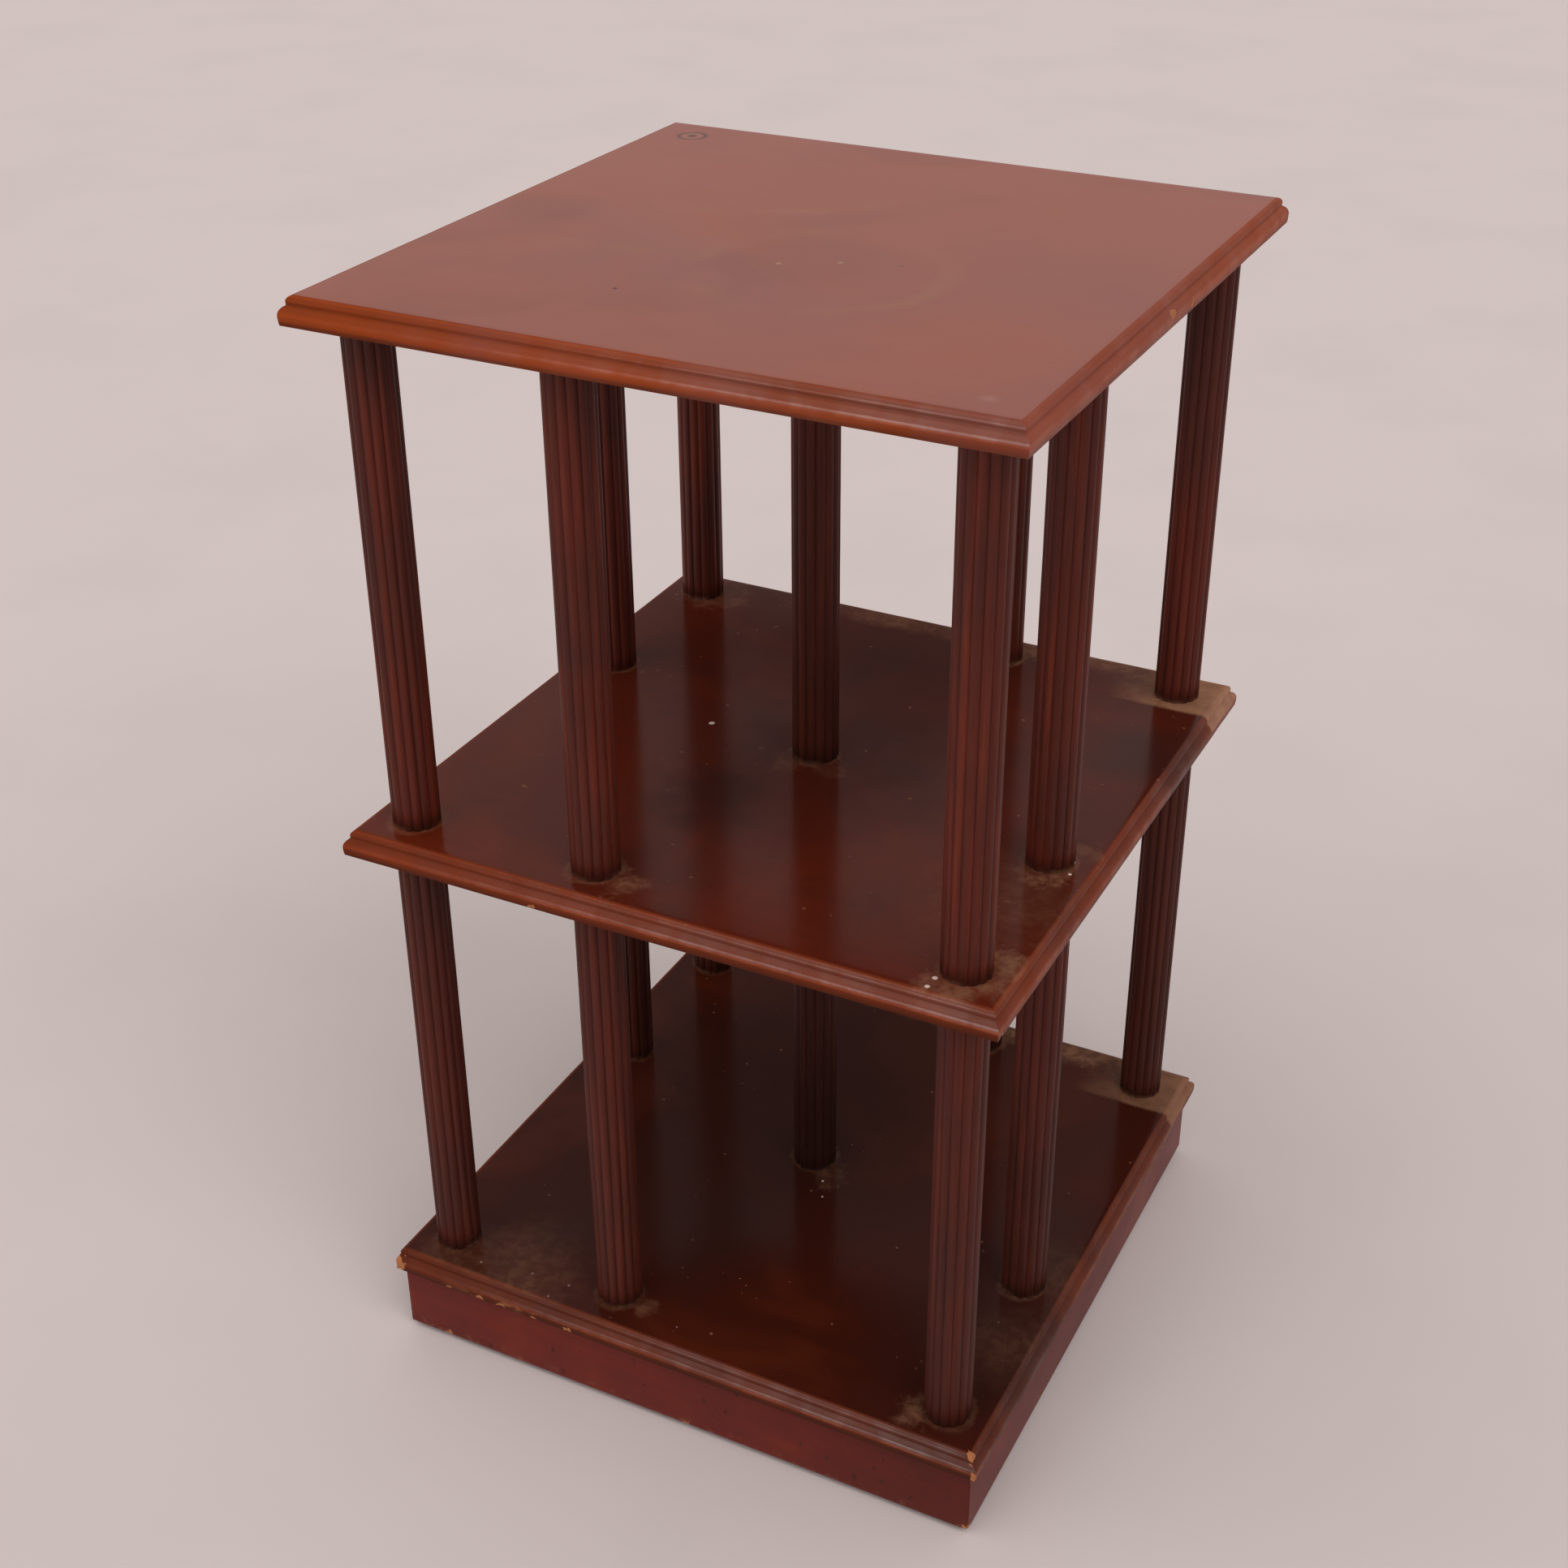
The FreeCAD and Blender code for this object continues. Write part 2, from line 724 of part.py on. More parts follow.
def thrust_washer():
    body = new_body("thrust_washer")
    plan = new_sketch(body, "plan")
    circle(plan, size("washer_radius"))
    circle(plan, size("thread_radius") + size("joint_gap"))
    pad(body, plan, size("washer_thickness"))
    place(body, z=size("nut_top_level"))


def castle_nut():
    """A hexagon nut with six slots in its lower end."""
    body = new_body("castle_nut")
    flat = size("nut_half_flats")
    point = flat / math.cos(math.radians(30))
    half_side = point / 2
    plan = new_sketch(body, "plan")
    outline(plan, [(point, as_size(0)), (half_side, flat), (-half_side, flat), (-point, as_size(0)),
                   (-half_side, -flat), (half_side, -flat)])
    circle(plan, size("thread_radius") + size("joint_gap"))
    pad(body, plan, size("nut_height"))
    slot = new_sketch(body, "slot")
    half_slot = size("castle_slot_width") / 2
    rectangle(slot, -half_slot, as_size(0), half_slot, point)
    polar(body, pocket(body, slot, size("castle_depth"), up=True), as_size(6))
    place(body, z=size("nut_level"))


def split_pin():
    """A round pin with an eye at one end, lying along Y through the spindle and a slot of the nut."""
    wire = size("split_pin_diameter") / 2
    reach = size("split_pin_length")
    level = size("split_pin_level")
    shank = doc.addObject("Part::Cylinder", "split_pin_shank")
    bind(shank, Radius=wire, Height=reach)
    eye = doc.addObject("Part::Torus", "split_pin_eye_ring")
    bind(eye, Radius1=size("split_pin_eye"), Radius2=wire)
    eye.Placement = FreeCAD.Placement(V(0, 0, 0), FreeCAD.Rotation(V(0, 1, 0), 90))
    eye.setExpression("Placement.Base.z", (-size("split_pin_eye")).text)
    pin = doc.addObject("Part::MultiFuse", "split_pin")
    pin.Label = "split_pin"
    pin.Shapes = [shank, eye]
    start = -reach / 2
    along_y = FreeCAD.Rotation(V(1, 0, 0), -90)
    pin.Placement = FreeCAD.Placement(V(0, start.number, level.number), along_y)
    pin.setExpression("Placement.Base.y", start.text)
    pin.setExpression("Placement.Base.z", level.text)
    PARTS.append(pin)


# ---- Fixed foot ---------------------------------------------------

def turntable_board():
    """The round board that carries the lower race plate and stands still."""
    body = new_body("turntable_board")
    thick = size("turntable_thickness")
    plan = new_sketch(body, "plan")
    circle(plan, size("turntable_radius"))
    circle(plan, size("bush_radius") + size("joint_gap"))
    pad(body, plan, thick)
    reach = size("turntable_reach")
    drill(body, "race_pilots", hole_radius("race_screw_diameter"), race_screw_spots(), thick - reach, reach)
    shank = hole_radius("turntable_screw_diameter")
    spots = cross_places(size("turntable_screw_ring"))
    drill(body, "rail_screw_holes", shank, spots, as_size(0), thick)
    sink(body, "rail_screw_sinks", hole_radius("turntable_screw_head"), shank, spots, thick, upwards=False)
    place(body, z=size("turntable_level"))
    flat_head_screws("turntable_screws", size("lower_race_level"), "turntable_screw",
                     thick + size("foot_rail_reach"), spots, upwards=False)


def foot_rail(label, turn, lap_on_top):
    """One of two rails that are halved across each other under the turntable board."""
    body = new_body(label)
    half_length = size("foot_rail_half_length")
    half_width = size("foot_rail_half_width")
    height = size("foot_rail_height")
    lap = size("lap_height")
    reach = size("foot_rail_reach")
    plan = new_sketch(body, "plan")
    rectangle(plan, -half_length, -half_width, half_length, half_width)
    pad(body, plan, height)
    notch = new_sketch(body, "notch", height=lap)
    notch_half = half_width + size("joint_gap")
    rectangle(notch, -notch_half, -half_width, notch_half, half_width)
    pocket(body, notch, lap, up=lap_on_top)
    middle = [(as_size(0), as_size(0))]
    if lap_on_top:
        drill(body, "nut_recess", size("nut_recess_radius"), middle, as_size(0), lap)
    else:
        drill(body, "bush_hole", size("bush_radius") + size("joint_gap"), middle, lap, lap)
    drill(body, "screw_pilots", hole_radius("turntable_screw_diameter"),
          two_ends(size("turntable_screw_ring")), height - reach, reach)
    drill(body, "nail_holes", hole_radius("nail_diameter"), two_ends(size("glide_ring")), as_size(0), reach)
    place(body, z=size("glide_height"), turn=turn)


def glides():
    """Turned plastic pads under the ends of the foot rails, each held by one nail."""
    radius = size("glide_diameter") / 2
    high = size("glide_height")
    edge = size("glide_edge_round")
    seat = size("nail_seat")
    bore = hole_radius("nail_diameter")
    head = hole_radius("nail_head_diameter")
    spots = cross_places(size("glide_ring"))
    for name, (x, y) in zip(("right", "back", "left", "front"), spots):
        body = new_body(f"glide_{name}")
        section = new_sketch(body, "section", "XZ_Plane")
        outline(section, [(head, as_size(0)), (radius - edge, as_size(0)), (radius, edge), (radius, high),
                          (bore, high), (bore, seat), (head, seat)], {1: (edge, -1)})
        spin(body, section)
        place(body, x, y)
    nails = new_body("glide_nails")
    shanks = new_sketch(nails, "shanks")
    circles(shanks, size("nail_diameter") / 2, spots)
    pad(nails, shanks, size("nail_length"))
    heads = new_sketch(nails, "heads")
    circles(heads, size("nail_head_diameter") / 2, spots)
    pad(nails, heads, size("nail_head_thickness"), down=True)
    place(nails, z=seat)


def check_objects():
    """Stop if any object failed, or any piece is empty or not valid."""
    for item in doc.Objects:
        if {"Invalid", "Error"} & set(item.State):
            raise RuntimeError(f"{item.Name} failed: {item.State}")
    for item in PARTS:
        if item.Shape.isNull() or not item.Shape.isValid() or item.Shape.Volume <= 0:
            raise RuntimeError(f"{item.Label} has no valid shape")


def main():
    fill_sheet()
    top_board()
    middle_shelf()
    bottom_board()
    columns()
    dowels()
    column_screws()
    plinth()
    corner_blocks()
    race()
    spindle()
    spindle_bush()
    thrust_washer()
    castle_nut()
    split_pin()
    turntable_board()
    foot_rail("foot_rail_lengthwise", 0, lap_on_top=False)
    foot_rail("foot_rail_crosswise", 90, lap_on_top=True)
    glides()
    doc.recompute()
    check_objects()
    os.makedirs("parts", exist_ok=True)
    for item in PARTS:
        item.Shape.exportStep(f"parts/{item.Label}.step")
        print(item.Label, len(item.Shape.Solids), round(item.Shape.Volume))


main()
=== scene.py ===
"""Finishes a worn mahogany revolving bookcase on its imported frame, and sets up a plain studio."""

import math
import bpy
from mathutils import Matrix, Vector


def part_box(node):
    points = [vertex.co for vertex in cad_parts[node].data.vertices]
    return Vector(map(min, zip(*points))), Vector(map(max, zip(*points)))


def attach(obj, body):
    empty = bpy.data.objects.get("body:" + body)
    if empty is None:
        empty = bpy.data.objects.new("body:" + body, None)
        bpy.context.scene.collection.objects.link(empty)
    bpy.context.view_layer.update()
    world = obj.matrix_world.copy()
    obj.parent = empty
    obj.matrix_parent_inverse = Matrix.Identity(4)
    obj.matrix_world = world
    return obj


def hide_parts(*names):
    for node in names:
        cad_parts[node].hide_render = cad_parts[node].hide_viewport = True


bl_info = {
    "name": "Revolving Bookcase",
    "version": (1, 0, 0),
    "blender": (4, 5, 0),
    "location": "View3D > Sidebar > Bookcase",
    "description": "Moulded boards, reeded columns, plinth and fittings of a revolving bookcase",
    "category": "Object",
}

from typing import NamedTuple

import bmesh
import bpy
from bpy.props import FloatProperty, FloatVectorProperty, IntProperty, PointerProperty
from mathutils import Matrix, Vector, noise

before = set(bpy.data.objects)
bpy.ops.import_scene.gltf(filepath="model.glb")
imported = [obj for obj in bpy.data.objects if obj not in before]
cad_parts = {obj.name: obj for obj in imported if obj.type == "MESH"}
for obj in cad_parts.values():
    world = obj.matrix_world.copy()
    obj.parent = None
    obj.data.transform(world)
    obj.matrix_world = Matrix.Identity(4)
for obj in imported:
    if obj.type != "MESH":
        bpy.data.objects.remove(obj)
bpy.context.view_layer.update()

CASE = "case"
Z_AXIS = (0, 0, 1)
MM = 0.001  # a millimetre, in metres

BOARD_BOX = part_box("top_board")
COLUMN_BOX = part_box("lower_column_centre")
RAIL_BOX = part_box("plinth_front_rail")
SHELF_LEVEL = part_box("middle_shelf")[0].z
CORNERS = ("front_left", "front_right", "back_right", "back_left")
PINWHEEL = ("front_mid", "right_mid", "back_mid", "left_mid")
COLUMNS = CORNERS + PINWHEEL + ("centre",)
SIDES = ("front", "right", "back", "left")


# ---- Sizes and colours a user would change ----

def number(name, description, default, **details):
    return FloatProperty(name=name, description=description, default=default, **details)


def length(name, description, default, least=0):
    return number(name, description, default, min=least, unit="LENGTH", subtype="DISTANCE", precision=5)


def colour(name, description, default):
    return FloatVectorProperty(name=name, description=description, default=default, size=3, min=0, max=1,
                               subtype="COLOR")


class BookcaseBoard(bpy.types.PropertyGroup):
    """A board and its moulded edge."""
    half_side: length("Half side", "From the middle of the board to its widest line", BOARD_BOX[1].x)
    thickness: length("Thickness", "From the foot of the moulding to the top face",
                      BOARD_BOX[1].z - BOARD_BOX[0].z)
    arris_inset: length("Arris inset", "From the flat top to the widest line", 0.008)
    bead_radius: length("Bead radius", "Radius of the round next to the top face", 0.004)
    quirk_depth: length("Quirk depth", "Height of the narrow groove under the bead", 0.002)
    quirk_sink: length("Quirk sink", "How far the groove runs in behind the bead", 0.0002)
    swell_depth: length("Swell depth", "From the top face down to the widest line", 0.012)
    foot_inset: length("Foot inset", "How far the foot of the moulding turns back in", 0.0006)
    wear: length("Wear", "How far the worn edges wander from a straight line", 0.00018)


class BookcaseColumn(bpy.types.PropertyGroup):
    """A reeded column."""
    radius: length("Radius", "From the axis to the crest of a reed", COLUMN_BOX[1].x)
    reed_radius: length("Reed radius", "Radius of one reed", 0.0042)
    reed_count: IntProperty(name="Reeds", description="Number of reeds round the column", default=14, min=6)
    end_round: length("End round", "Small round at both ends of the reeds", 0.0004)
    wear: length("Wear", "How unevenly the reeds are worn", 0.00012)


class BookcasePlinth(bpy.types.PropertyGroup):
    """The plinth's rails."""
    thickness: length("Thickness", "Thickness of a rail", 0.018)
    edge_round: length("Edge round", "Radius of the rails' worn edges", 0.0009)


class BookcaseColours(bpy.types.PropertyGroup):
    """Colours of the finish, the bare woods and the dirt."""
    top: colour("Top", "Faded stain of the top face", (0.275, 0.072, 0.045))
    haze: colour("Haze", "Milky film on the top face", (0.2, 0.07, 0.062))
    # The shelf and bottom stains are darker than the top's partly as painted shade under the boards above.
    shelf: colour("Shelf", "Stain of the middle shelf", (0.099, 0.0122, 0.0042))
    bottom: colour("Bottom", "Stain of the bottom board", (0.046, 0.0074, 0.0036))
    column: colour("Column", "Stain of the columns", (0.092, 0.0135, 0.0072))
    plinth: colour("Plinth", "Stain of the plinth", (0.122, 0.012, 0.007))
    moulding: colour("Moulding", "Thin stain of worn edges", (0.285, 0.044, 0.0055))
    # Rubbed is wear along the widest line and also a painted highlight, stronger towards the right end of
    # the front.
    rubbed: colour("Rubbed", "Widest line of an edge, rubbed by hands", (0.38, 0.085, 0.03))
    # Shade is also laid as painted shade and painted dark reflections in the shelves' clouds.
    shade: colour("Shade", "Dark clouds in the stain", (0.033, 0.0115, 0.009))
    # This colour is real dirt in pores, streaks, the plug and the metal, and also painted shade: in the
    # moulding's grooves and curves, the reed valleys, low on the columns and along the plinth's top.
    grime_and_shade: colour("Grime", "Dirt in the grooves", (0.014, 0.006, 0.004))
    raw_wood: colour("Raw wood", "Wood that shows in a chip", (0.36, 0.135, 0.055))
    dust: colour("Dust", "Settled dust", (0.33, 0.158, 0.088))
    crumb: colour("Crumb", "Pale specks", (0.7, 0.52, 0.45))
    deal: colour("Deal", "Bare softwood of the hidden pieces", (0.52, 0.34, 0.17))
    beech: colour("Beech", "Bare wood of the dowels", (0.56, 0.37, 0.21))
    steel: colour("Steel", "Plated steel", (0.56, 0.55, 0.53))
    brass: colour("Brass", "Dull brass", (0.62, 0.43, 0.15))
    plastic: colour("Plastic", "Glides under the foot", (0.05, 0.036, 0.028))


class BookcaseStudio(bpy.types.PropertyGroup):
    """Floor, light and camera."""
    floor: colour("Floor", "Plain floor, and what is seen past it", (0.645, 0.55, 0.53))
    sky: number("Sky", "Strength of the light from all round", 0.6, min=0)
    azimuth: number("Azimuth", "Turn of the camera round the object, from the front", math.radians(26.33),
                    subtype="ANGLE")
    elevation: number("Elevation", "Height of the camera above the horizon", math.radians(30.14),
                      subtype="ANGLE")
    distance: length("Distance", "From the camera to the point it looks at", 1.6156)
    look_height: length("Look height", "Height above the floor of the point it looks at", 0.4252)
    side_step: length("Side step", "How far the camera stands to its right", -0.0037, least=-1)
    lens: number("Lens", "Focal length in millimetres", 51.2, min=1)
    shift: number("Shift", "Sideways shift of the lens", -0.0169)


# ---- Node trees ----

def maths(operation, swapped=False):
    """Make a method that does shader maths with values."""
    def method(value, *others):
        inputs = (*others, value) if swapped else (value, *others)
        return value.tree.node("ShaderNodeMath", {"operation": operation}, dict(enumerate(inputs)))
    return method


class Value:
    """One output of a node, with shader maths as Python expressions."""

    def __init__(self, tree, socket):
        self.tree = tree
        self.socket = socket

    __add__ = maths("ADD")
    __radd__ = maths("ADD", swapped=True)
    __sub__ = maths("SUBTRACT")
    __rsub__ = maths("SUBTRACT", swapped=True)
    __mul__ = maths("MULTIPLY")
    __rmul__ = maths("MULTIPLY", swapped=True)
    __abs__ = maths("ABSOLUTE")
    larger = maths("MAXIMUM")
    smaller = maths("MINIMUM")
    above = maths("GREATER_THAN")


class NodeTree:
    """A node tree, emptied first and filled by one method."""

    def __init__(self, tree):
        self.tree = tree
        tree.nodes.clear()

    def node(self, kind, settings=None, inputs=None, output=0):
        """Add a node with its settings and the values or links of its inputs. Gives back one output."""
        node = self.tree.nodes.new(kind)
        for name, setting in (settings or {}).items():
            setattr(node, name, setting)
        for key, given in (inputs or {}).items():
            if isinstance(given, Value):
                self.tree.links.new(given.socket, node.inputs[key])
            else:
                node.inputs[key].default_value = given
        return Value(self, node.outputs[output]) if node.outputs else None


class Finish(NodeTree):
    """A material on Object coordinates, in metres. Colours are laid over its base one by one."""

    def __init__(self, name, base):
        self.material = bpy.data.materials.new(name)
        self.material.use_nodes = True
        super().__init__(self.material.node_tree)
        self.place = self.node("ShaderNodeTexCoord", output="Object")
        self.base = base

    def axes(self):
        split = self.node("ShaderNodeSeparateXYZ", inputs={"Vector": self.place}).socket.node
        return [Value(self, split.outputs[axis]) for axis in "XYZ"]

    def noise(self, scale, stretch=(1, 1, 1), shift=(0, 0, 0), detail=3, roughness=0.55, warp=0):
        """Noise with so many waves to the metre along each axis."""
        spread = self.node("ShaderNodeMapping", inputs={
            "Vector": self.place, "Location": shift, "Scale": stretch})
        return self.node("ShaderNodeTexNoise", inputs={
            "Vector": spread, "Scale": scale, "Detail": detail, "Roughness": roughness, "Distortion": warp})

    def streaks(self, along):
        """Wood streaks and pores along one axis."""
        coarse = [6 if axis == along else 170 for axis in "XYZ"]
        fine = [45 if axis == along else 1500 for axis in "XYZ"]
        return self.noise(1, coarse, detail=5, roughness=0.6), self.noise(1, fine, detail=2)

    def side_streaks(self, x, y):
        """Streaks along each of the four sides, turning at the mitres."""
        on_side = abs(x).above(abs(y))
        both = zip(self.streaks("X"), self.streaks("Y"))
        return [by_x + (by_y - by_x) * on_side for by_x, by_y in both]

    def rise(self, value, low, high):
        """0 below low, 1 above high, smooth between."""
        return self.node("ShaderNodeMapRange", {"interpolation_type": "SMOOTHSTEP"},
                         {"Value": value, "From Min": low, "From Max": high})

    def fall(self, value, low, high):
        return 1 - self.rise(value, low, high)

    def near(self, value, target, width):
        """1 where the value meets its target, 0 from a width away."""
        return self.fall(abs(value - target), 0, width)

    def distance(self, spot):
        """Distance in plan from a spot."""
        flat = self.node("ShaderNodeVectorMath", {"operation": "MULTIPLY"}, {0: self.place, 1: (1, 1, 0)})
        return self.node("ShaderNodeVectorMath", {"operation": "DISTANCE"},
                         {0: flat, 1: (spot[0], spot[1], 0)}, output="Value")

    def attribute(self, name):
        return self.node("ShaderNodeAttribute", {"attribute_name": name}, output="Fac")

    def blend(self, share, under, over):
        """A share of one colour over another."""
        return self.node("ShaderNodeMix", {"data_type": "RGBA", "clamp_factor": True},
                         {0: share, 6: rgba(under), 7: rgba(over)}, output=2)

    def lay(self, share, name):
        """Lay a share of a colour over the base."""
        self.base = self.blend(share, self.base, tone(name))

    def layer(self, value, low, high, share, name):
        """Lay a colour on while a value rises from low to high, up to a share."""
        self.lay(self.rise(value, low, high) * share, name)

    def surface(self, roughness, height, metallic=0, specular=0.5, polish=0, polish_roughness=0.1):
        """Close the material. Height is in metres, and polish is the weight of the clear coat."""
        normal = self.node("ShaderNodeBump", inputs={"Height": height, "Distance": 1})
        shader = self.node("ShaderNodeBsdfPrincipled", inputs={
            "Base Color": self.base, "Roughness": roughness, "Metallic": metallic,
            "Specular IOR Level": specular, "Coat Weight": polish, "Coat Roughness": polish_roughness,
            "Normal": normal})
        self.node("ShaderNodeOutputMaterial", inputs={"Surface": shader})
        return self.material


def tone(name):
    return getattr(settings().colours, name)


def rgba(given):
    return given if isinstance(given, Value) else (*given, 1)


# ---- Finishes ----

class BoardFinish(Finish):
    """Stained board: clouds, grain, a worn moulding with dirt and painted shade in its grooves and painted
    shade on its curves, marks on its face.
    """

    def __init__(self, board, look, part):
        super().__init__(f"mahogany_{board}_{part}", tone(look.stain))
        sizes = settings().board
        self.look = look
        self.thickness = sizes.thickness
        self.arris = sizes.half_side - sizes.arris_inset
        self.swell = sizes.thickness - sizes.swell_depth
        self.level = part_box(board)[0].z
        self.x, self.y, z = self.axes()
        self.up = z - self.level
        self.across = abs(self.x).larger(abs(self.y))
        self.on_front = abs(self.y).above(abs(self.x))
        self.upper_side = self.up.above(0.5 * sizes.thickness)
        self.wander = 0.8 * MM * (self.noise(120, detail=1) - 0.5)
        self.uneven = self.rise(self.noise(42, detail=4), 0.42, 0.62)
        self.handled = self.rise(self.x, look.handled_start, HANDLED_END)
        self.above_swell = self.rise(self.up, self.swell - 0.5 * MM, self.swell + 1.5 * MM)
        # Painted shade under the widest line of the front, growing towards the right.
        painted_shade = look.painted_shade + look.right_painted_shade * self.rise(self.x, look.painted_shade_start, look.painted_shade_end)
        self.painted_shade = painted_shade * self.on_front
        shift = (self.level * 7, self.level * 3, self.level)
        self.clouds = self.noise(5.5, shift=shift, detail=3, warp=0.8)
        self.blotches = self.noise(17, shift=shift, detail=4)
        self.streak, self.pore = self.streaks("X")
        self.dulled = []  # what takes the polish off, and how much

    def complete(self, part):
        """Colour, relief and gloss of the face, or of the moulded edge."""
        stain = self.base
        self.stain_face()
        face = self.base
        self.base = stain
        self.stain_edge()
        self.shade_and_scuff_edge()
        on_edge = self.rise(self.across, self.arris - 0.5 * MM, self.arris + 0.7 * MM)
        self.base = self.blend(on_edge, face, self.base)
        # Dirt and painted shade in the moulding's grooves, painted shade along its foot.
        lines = self.groove_lines()
        self.lay(lines, "grime_and_shade")
        self.height = -0.00002 * self.rise(self.pore, 0.6, 0.75) - 0.00008 * self.noise(35, detail=2)
        self.height = self.height - 0.0002 * lines
        if self.look.dust:
            self.cloud_and_dust()
        else:
            self.mark_top()
        raw = self.attribute("raw_wood") + 0.5 * (self.noise(420, detail=3) - 0.5)
        raw = self.rise(raw, *RAW_WOOD_SHOWS)
        self.lay(raw, "raw_wood")
        roughness = 0.5 + 0.2 * self.blotches
        if part == "edge":
            return self.surface(roughness, self.height, specular=0.08, polish=self.edge_polish(raw),
                                polish_roughness=0.27)
        return self.surface(roughness, self.height, specular=0, polish=self.face_polish(),
                            polish_roughness=self.look.polish_roughness)

    def stain_face(self):
        look = self.look
        shade = self.rise(self.clouds, 0.46, look.cloud_end) * look.cloud_shade
        self.lay(shade + self.rise(self.blotches, 0.48, 0.8) * look.blotch_shade, "shade")
        self.layer(self.clouds, 0.5, 0.35, 0.1, "moulding")
        self.layer(self.streak, 0.35, 0.75, look.streak_shade, "grime_and_shade")
        self.layer(self.pore, 0.62, 0.75, 0.1, "grime_and_shade")

    def stain_edge(self):
        """Thin stain with grain that turns at the mitres, lighter along the widest line: partly rubbed,
        partly a painted highlight.
        """
        thin = self.look.thin
        streak, pore = self.side_streaks(self.x, self.y)
        self.lay(thin + self.rise(self.blotches, 0.38, 0.62) * 0.15, "moulding")
        self.layer(streak, 0.35, 0.8, 0.25, "shade")
        self.layer(pore, 0.6, 0.75, 0.12, "grime_and_shade")
        # Lighter along the widest line: rubbed wear and a painted highlight.
        rubbed = self.near(self.up + self.wander, self.swell + 0.5 * MM, 2.6 * MM)
        rubbed = rubbed * (0.25 + 0.75 * self.uneven) * (0.25 + 0.75 * self.handled)
        self.lay(rubbed * (0.2 + 0.4 * thin), "rubbed")

    def shade_and_scuff_edge(self):
        """Painted shade above and below the widest line, darker at the front's right end, and a scuff at
        the foot.
        """
        look = self.look
        # Painted shade on the slope above the widest line, more at the front.
        slope = self.rise(self.up, self.swell + 1 * MM, self.swell + 4 * MM)
        slope = slope * self.across.above(self.arris + 3 * MM)
        self.lay(slope * (look.slope_shade + look.front_slope_shade * self.on_front), "grime_and_shade")
        # Darker at the front's right end, above the widest line.
        right_end = self.rise(self.x, -0.05, 0.16) * self.on_front * self.above_swell
        self.lay(right_end * look.right_end_darker, "grime_and_shade")
        # Painted shade under the widest line of the front.
        underside = self.fall(self.up, self.swell - 1.2 * MM, self.swell + 0.3 * MM)
        self.lay(underside * self.painted_shade, "grime_and_shade")
        if look.scuff:
            scuffed = self.near(self.up, 0.5 * self.swell, self.swell) * self.near(self.x, *look.scuff)
            ragged = self.rise(self.noise(1, (60, 60, 200), detail=4), 0.5, 0.6)
            self.lay(scuffed * self.on_front * ragged * 0.65, "raw_wood")

    def groove_lines(self):
        """Dirt and painted shade in the grooves of the moulding, and painted shade along its foot."""
        sizes = settings().board
        bead_foot = sizes.thickness - sizes.bead_radius
        height = self.up + self.wander
        bead = self.near(height, sizes.thickness - 0.3 * sizes.bead_radius, 0.8 * MM)
        arris = self.near(self.across + self.wander, self.arris + 0.9 * MM, 0.9 * MM)
        arris = arris * self.up.above(bead_foot)
        quirk = self.near(height, bead_foot - 0.5 * sizes.quirk_depth, 1.8 * MM)
        foot = self.fall(self.up, 0.8 * MM, 4.2 * MM) * (0.62 - 0.7 * self.painted_shade)
        lines = (bead * 0.2).larger(quirk * 0.18).larger(foot).larger(arris * 0.32)
        return lines * (0.5 + self.blotches) * self.across.above(self.arris) * (0.55 + 0.45 * self.on_front)

    def face_polish(self):
        """The clear coat that the marks have left on the face."""
        polish = self.look.polish
        for mark, strength in self.dulled:
            polish = polish * (1 - mark * strength)
        return polish

    def edge_polish(self, raw):
        """Broken sheen above the widest line, strongest where hands touch the front."""
        look = self.look
        lower = self.fall(self.x, 0.12, 0.18) * look.lower_sheen
        shown = self.above_swell.larger(1 - self.on_front).larger(lower)
        crest = self.near(self.up + self.wander, self.swell + 1.5 * MM, 2.8 * MM)
        crest = crest * self.rise(self.x, look.handled_start - 0.05, 0.04) * self.on_front
        glint = 0.75 + 0.5 * self.rise(self.noise(260, detail=1), 0.5, 0.75)
        sheen = self.handled * shown * (0.34 + look.front_sheen * self.on_front) + crest * glint * 0.58
        return (sheen * (0.55 + 0.45 * self.uneven) * (1 - raw)).smaller(1)

    def mark_top(self):
        """Clouded wax, smudges, milky arcs, a plug, a dent with a painted highlight, and specks on the top.
        """
        wander = 0.004 * (self.noise(60, detail=2) - 0.5)
        drift = self.noise(3.4, shift=(0.3, 0.1, 0), detail=3, warp=1)
        self.layer(drift, 0.46, 0.66, 0.3, "haze")
        self.layer(drift, 0.48, 0.32, 0.14, "moulding")
        plain = self.base
        for spot, reach, strength in TOP_SMUDGES:
            smudge = self.fall(self.distance(spot) + 4 * wander, 0.3 * reach, reach)
            self.lay(smudge * strength, "shade")
        arcs = self.milky_arcs(3 * wander)
        self.lay(arcs * 0.3, "dust")
        plug = self.distance(PLUG) + wander
        rim = self.near(plug, 0.01, 0.0028)
        heart = self.fall(plug, 0.002, 0.0055)
        self.lay(self.fall(plug, 0.006, 0.0105) * 0.35, "raw_wood")
        self.lay((rim * 0.75).larger(heart * 0.85), "grime_and_shade")
        # The dent is painted paler: a painted highlight.
        dent = self.fall(self.distance(DENT) + wander, 0, 0.008)
        self.lay(dent * 0.08, "crumb")
        for spot, size, name in TOP_SPECKS:
            speck = self.fall(self.distance(spot) + 0.3 * wander, 0.5 * size, size)
            self.lay(speck, name)
        self.base = self.blend(self.upper_side, plain, self.base)
        self.height = self.height - (0.0006 * dent + 0.0002 * rim) * self.upper_side
        self.dulled.append((arcs, 0.15))

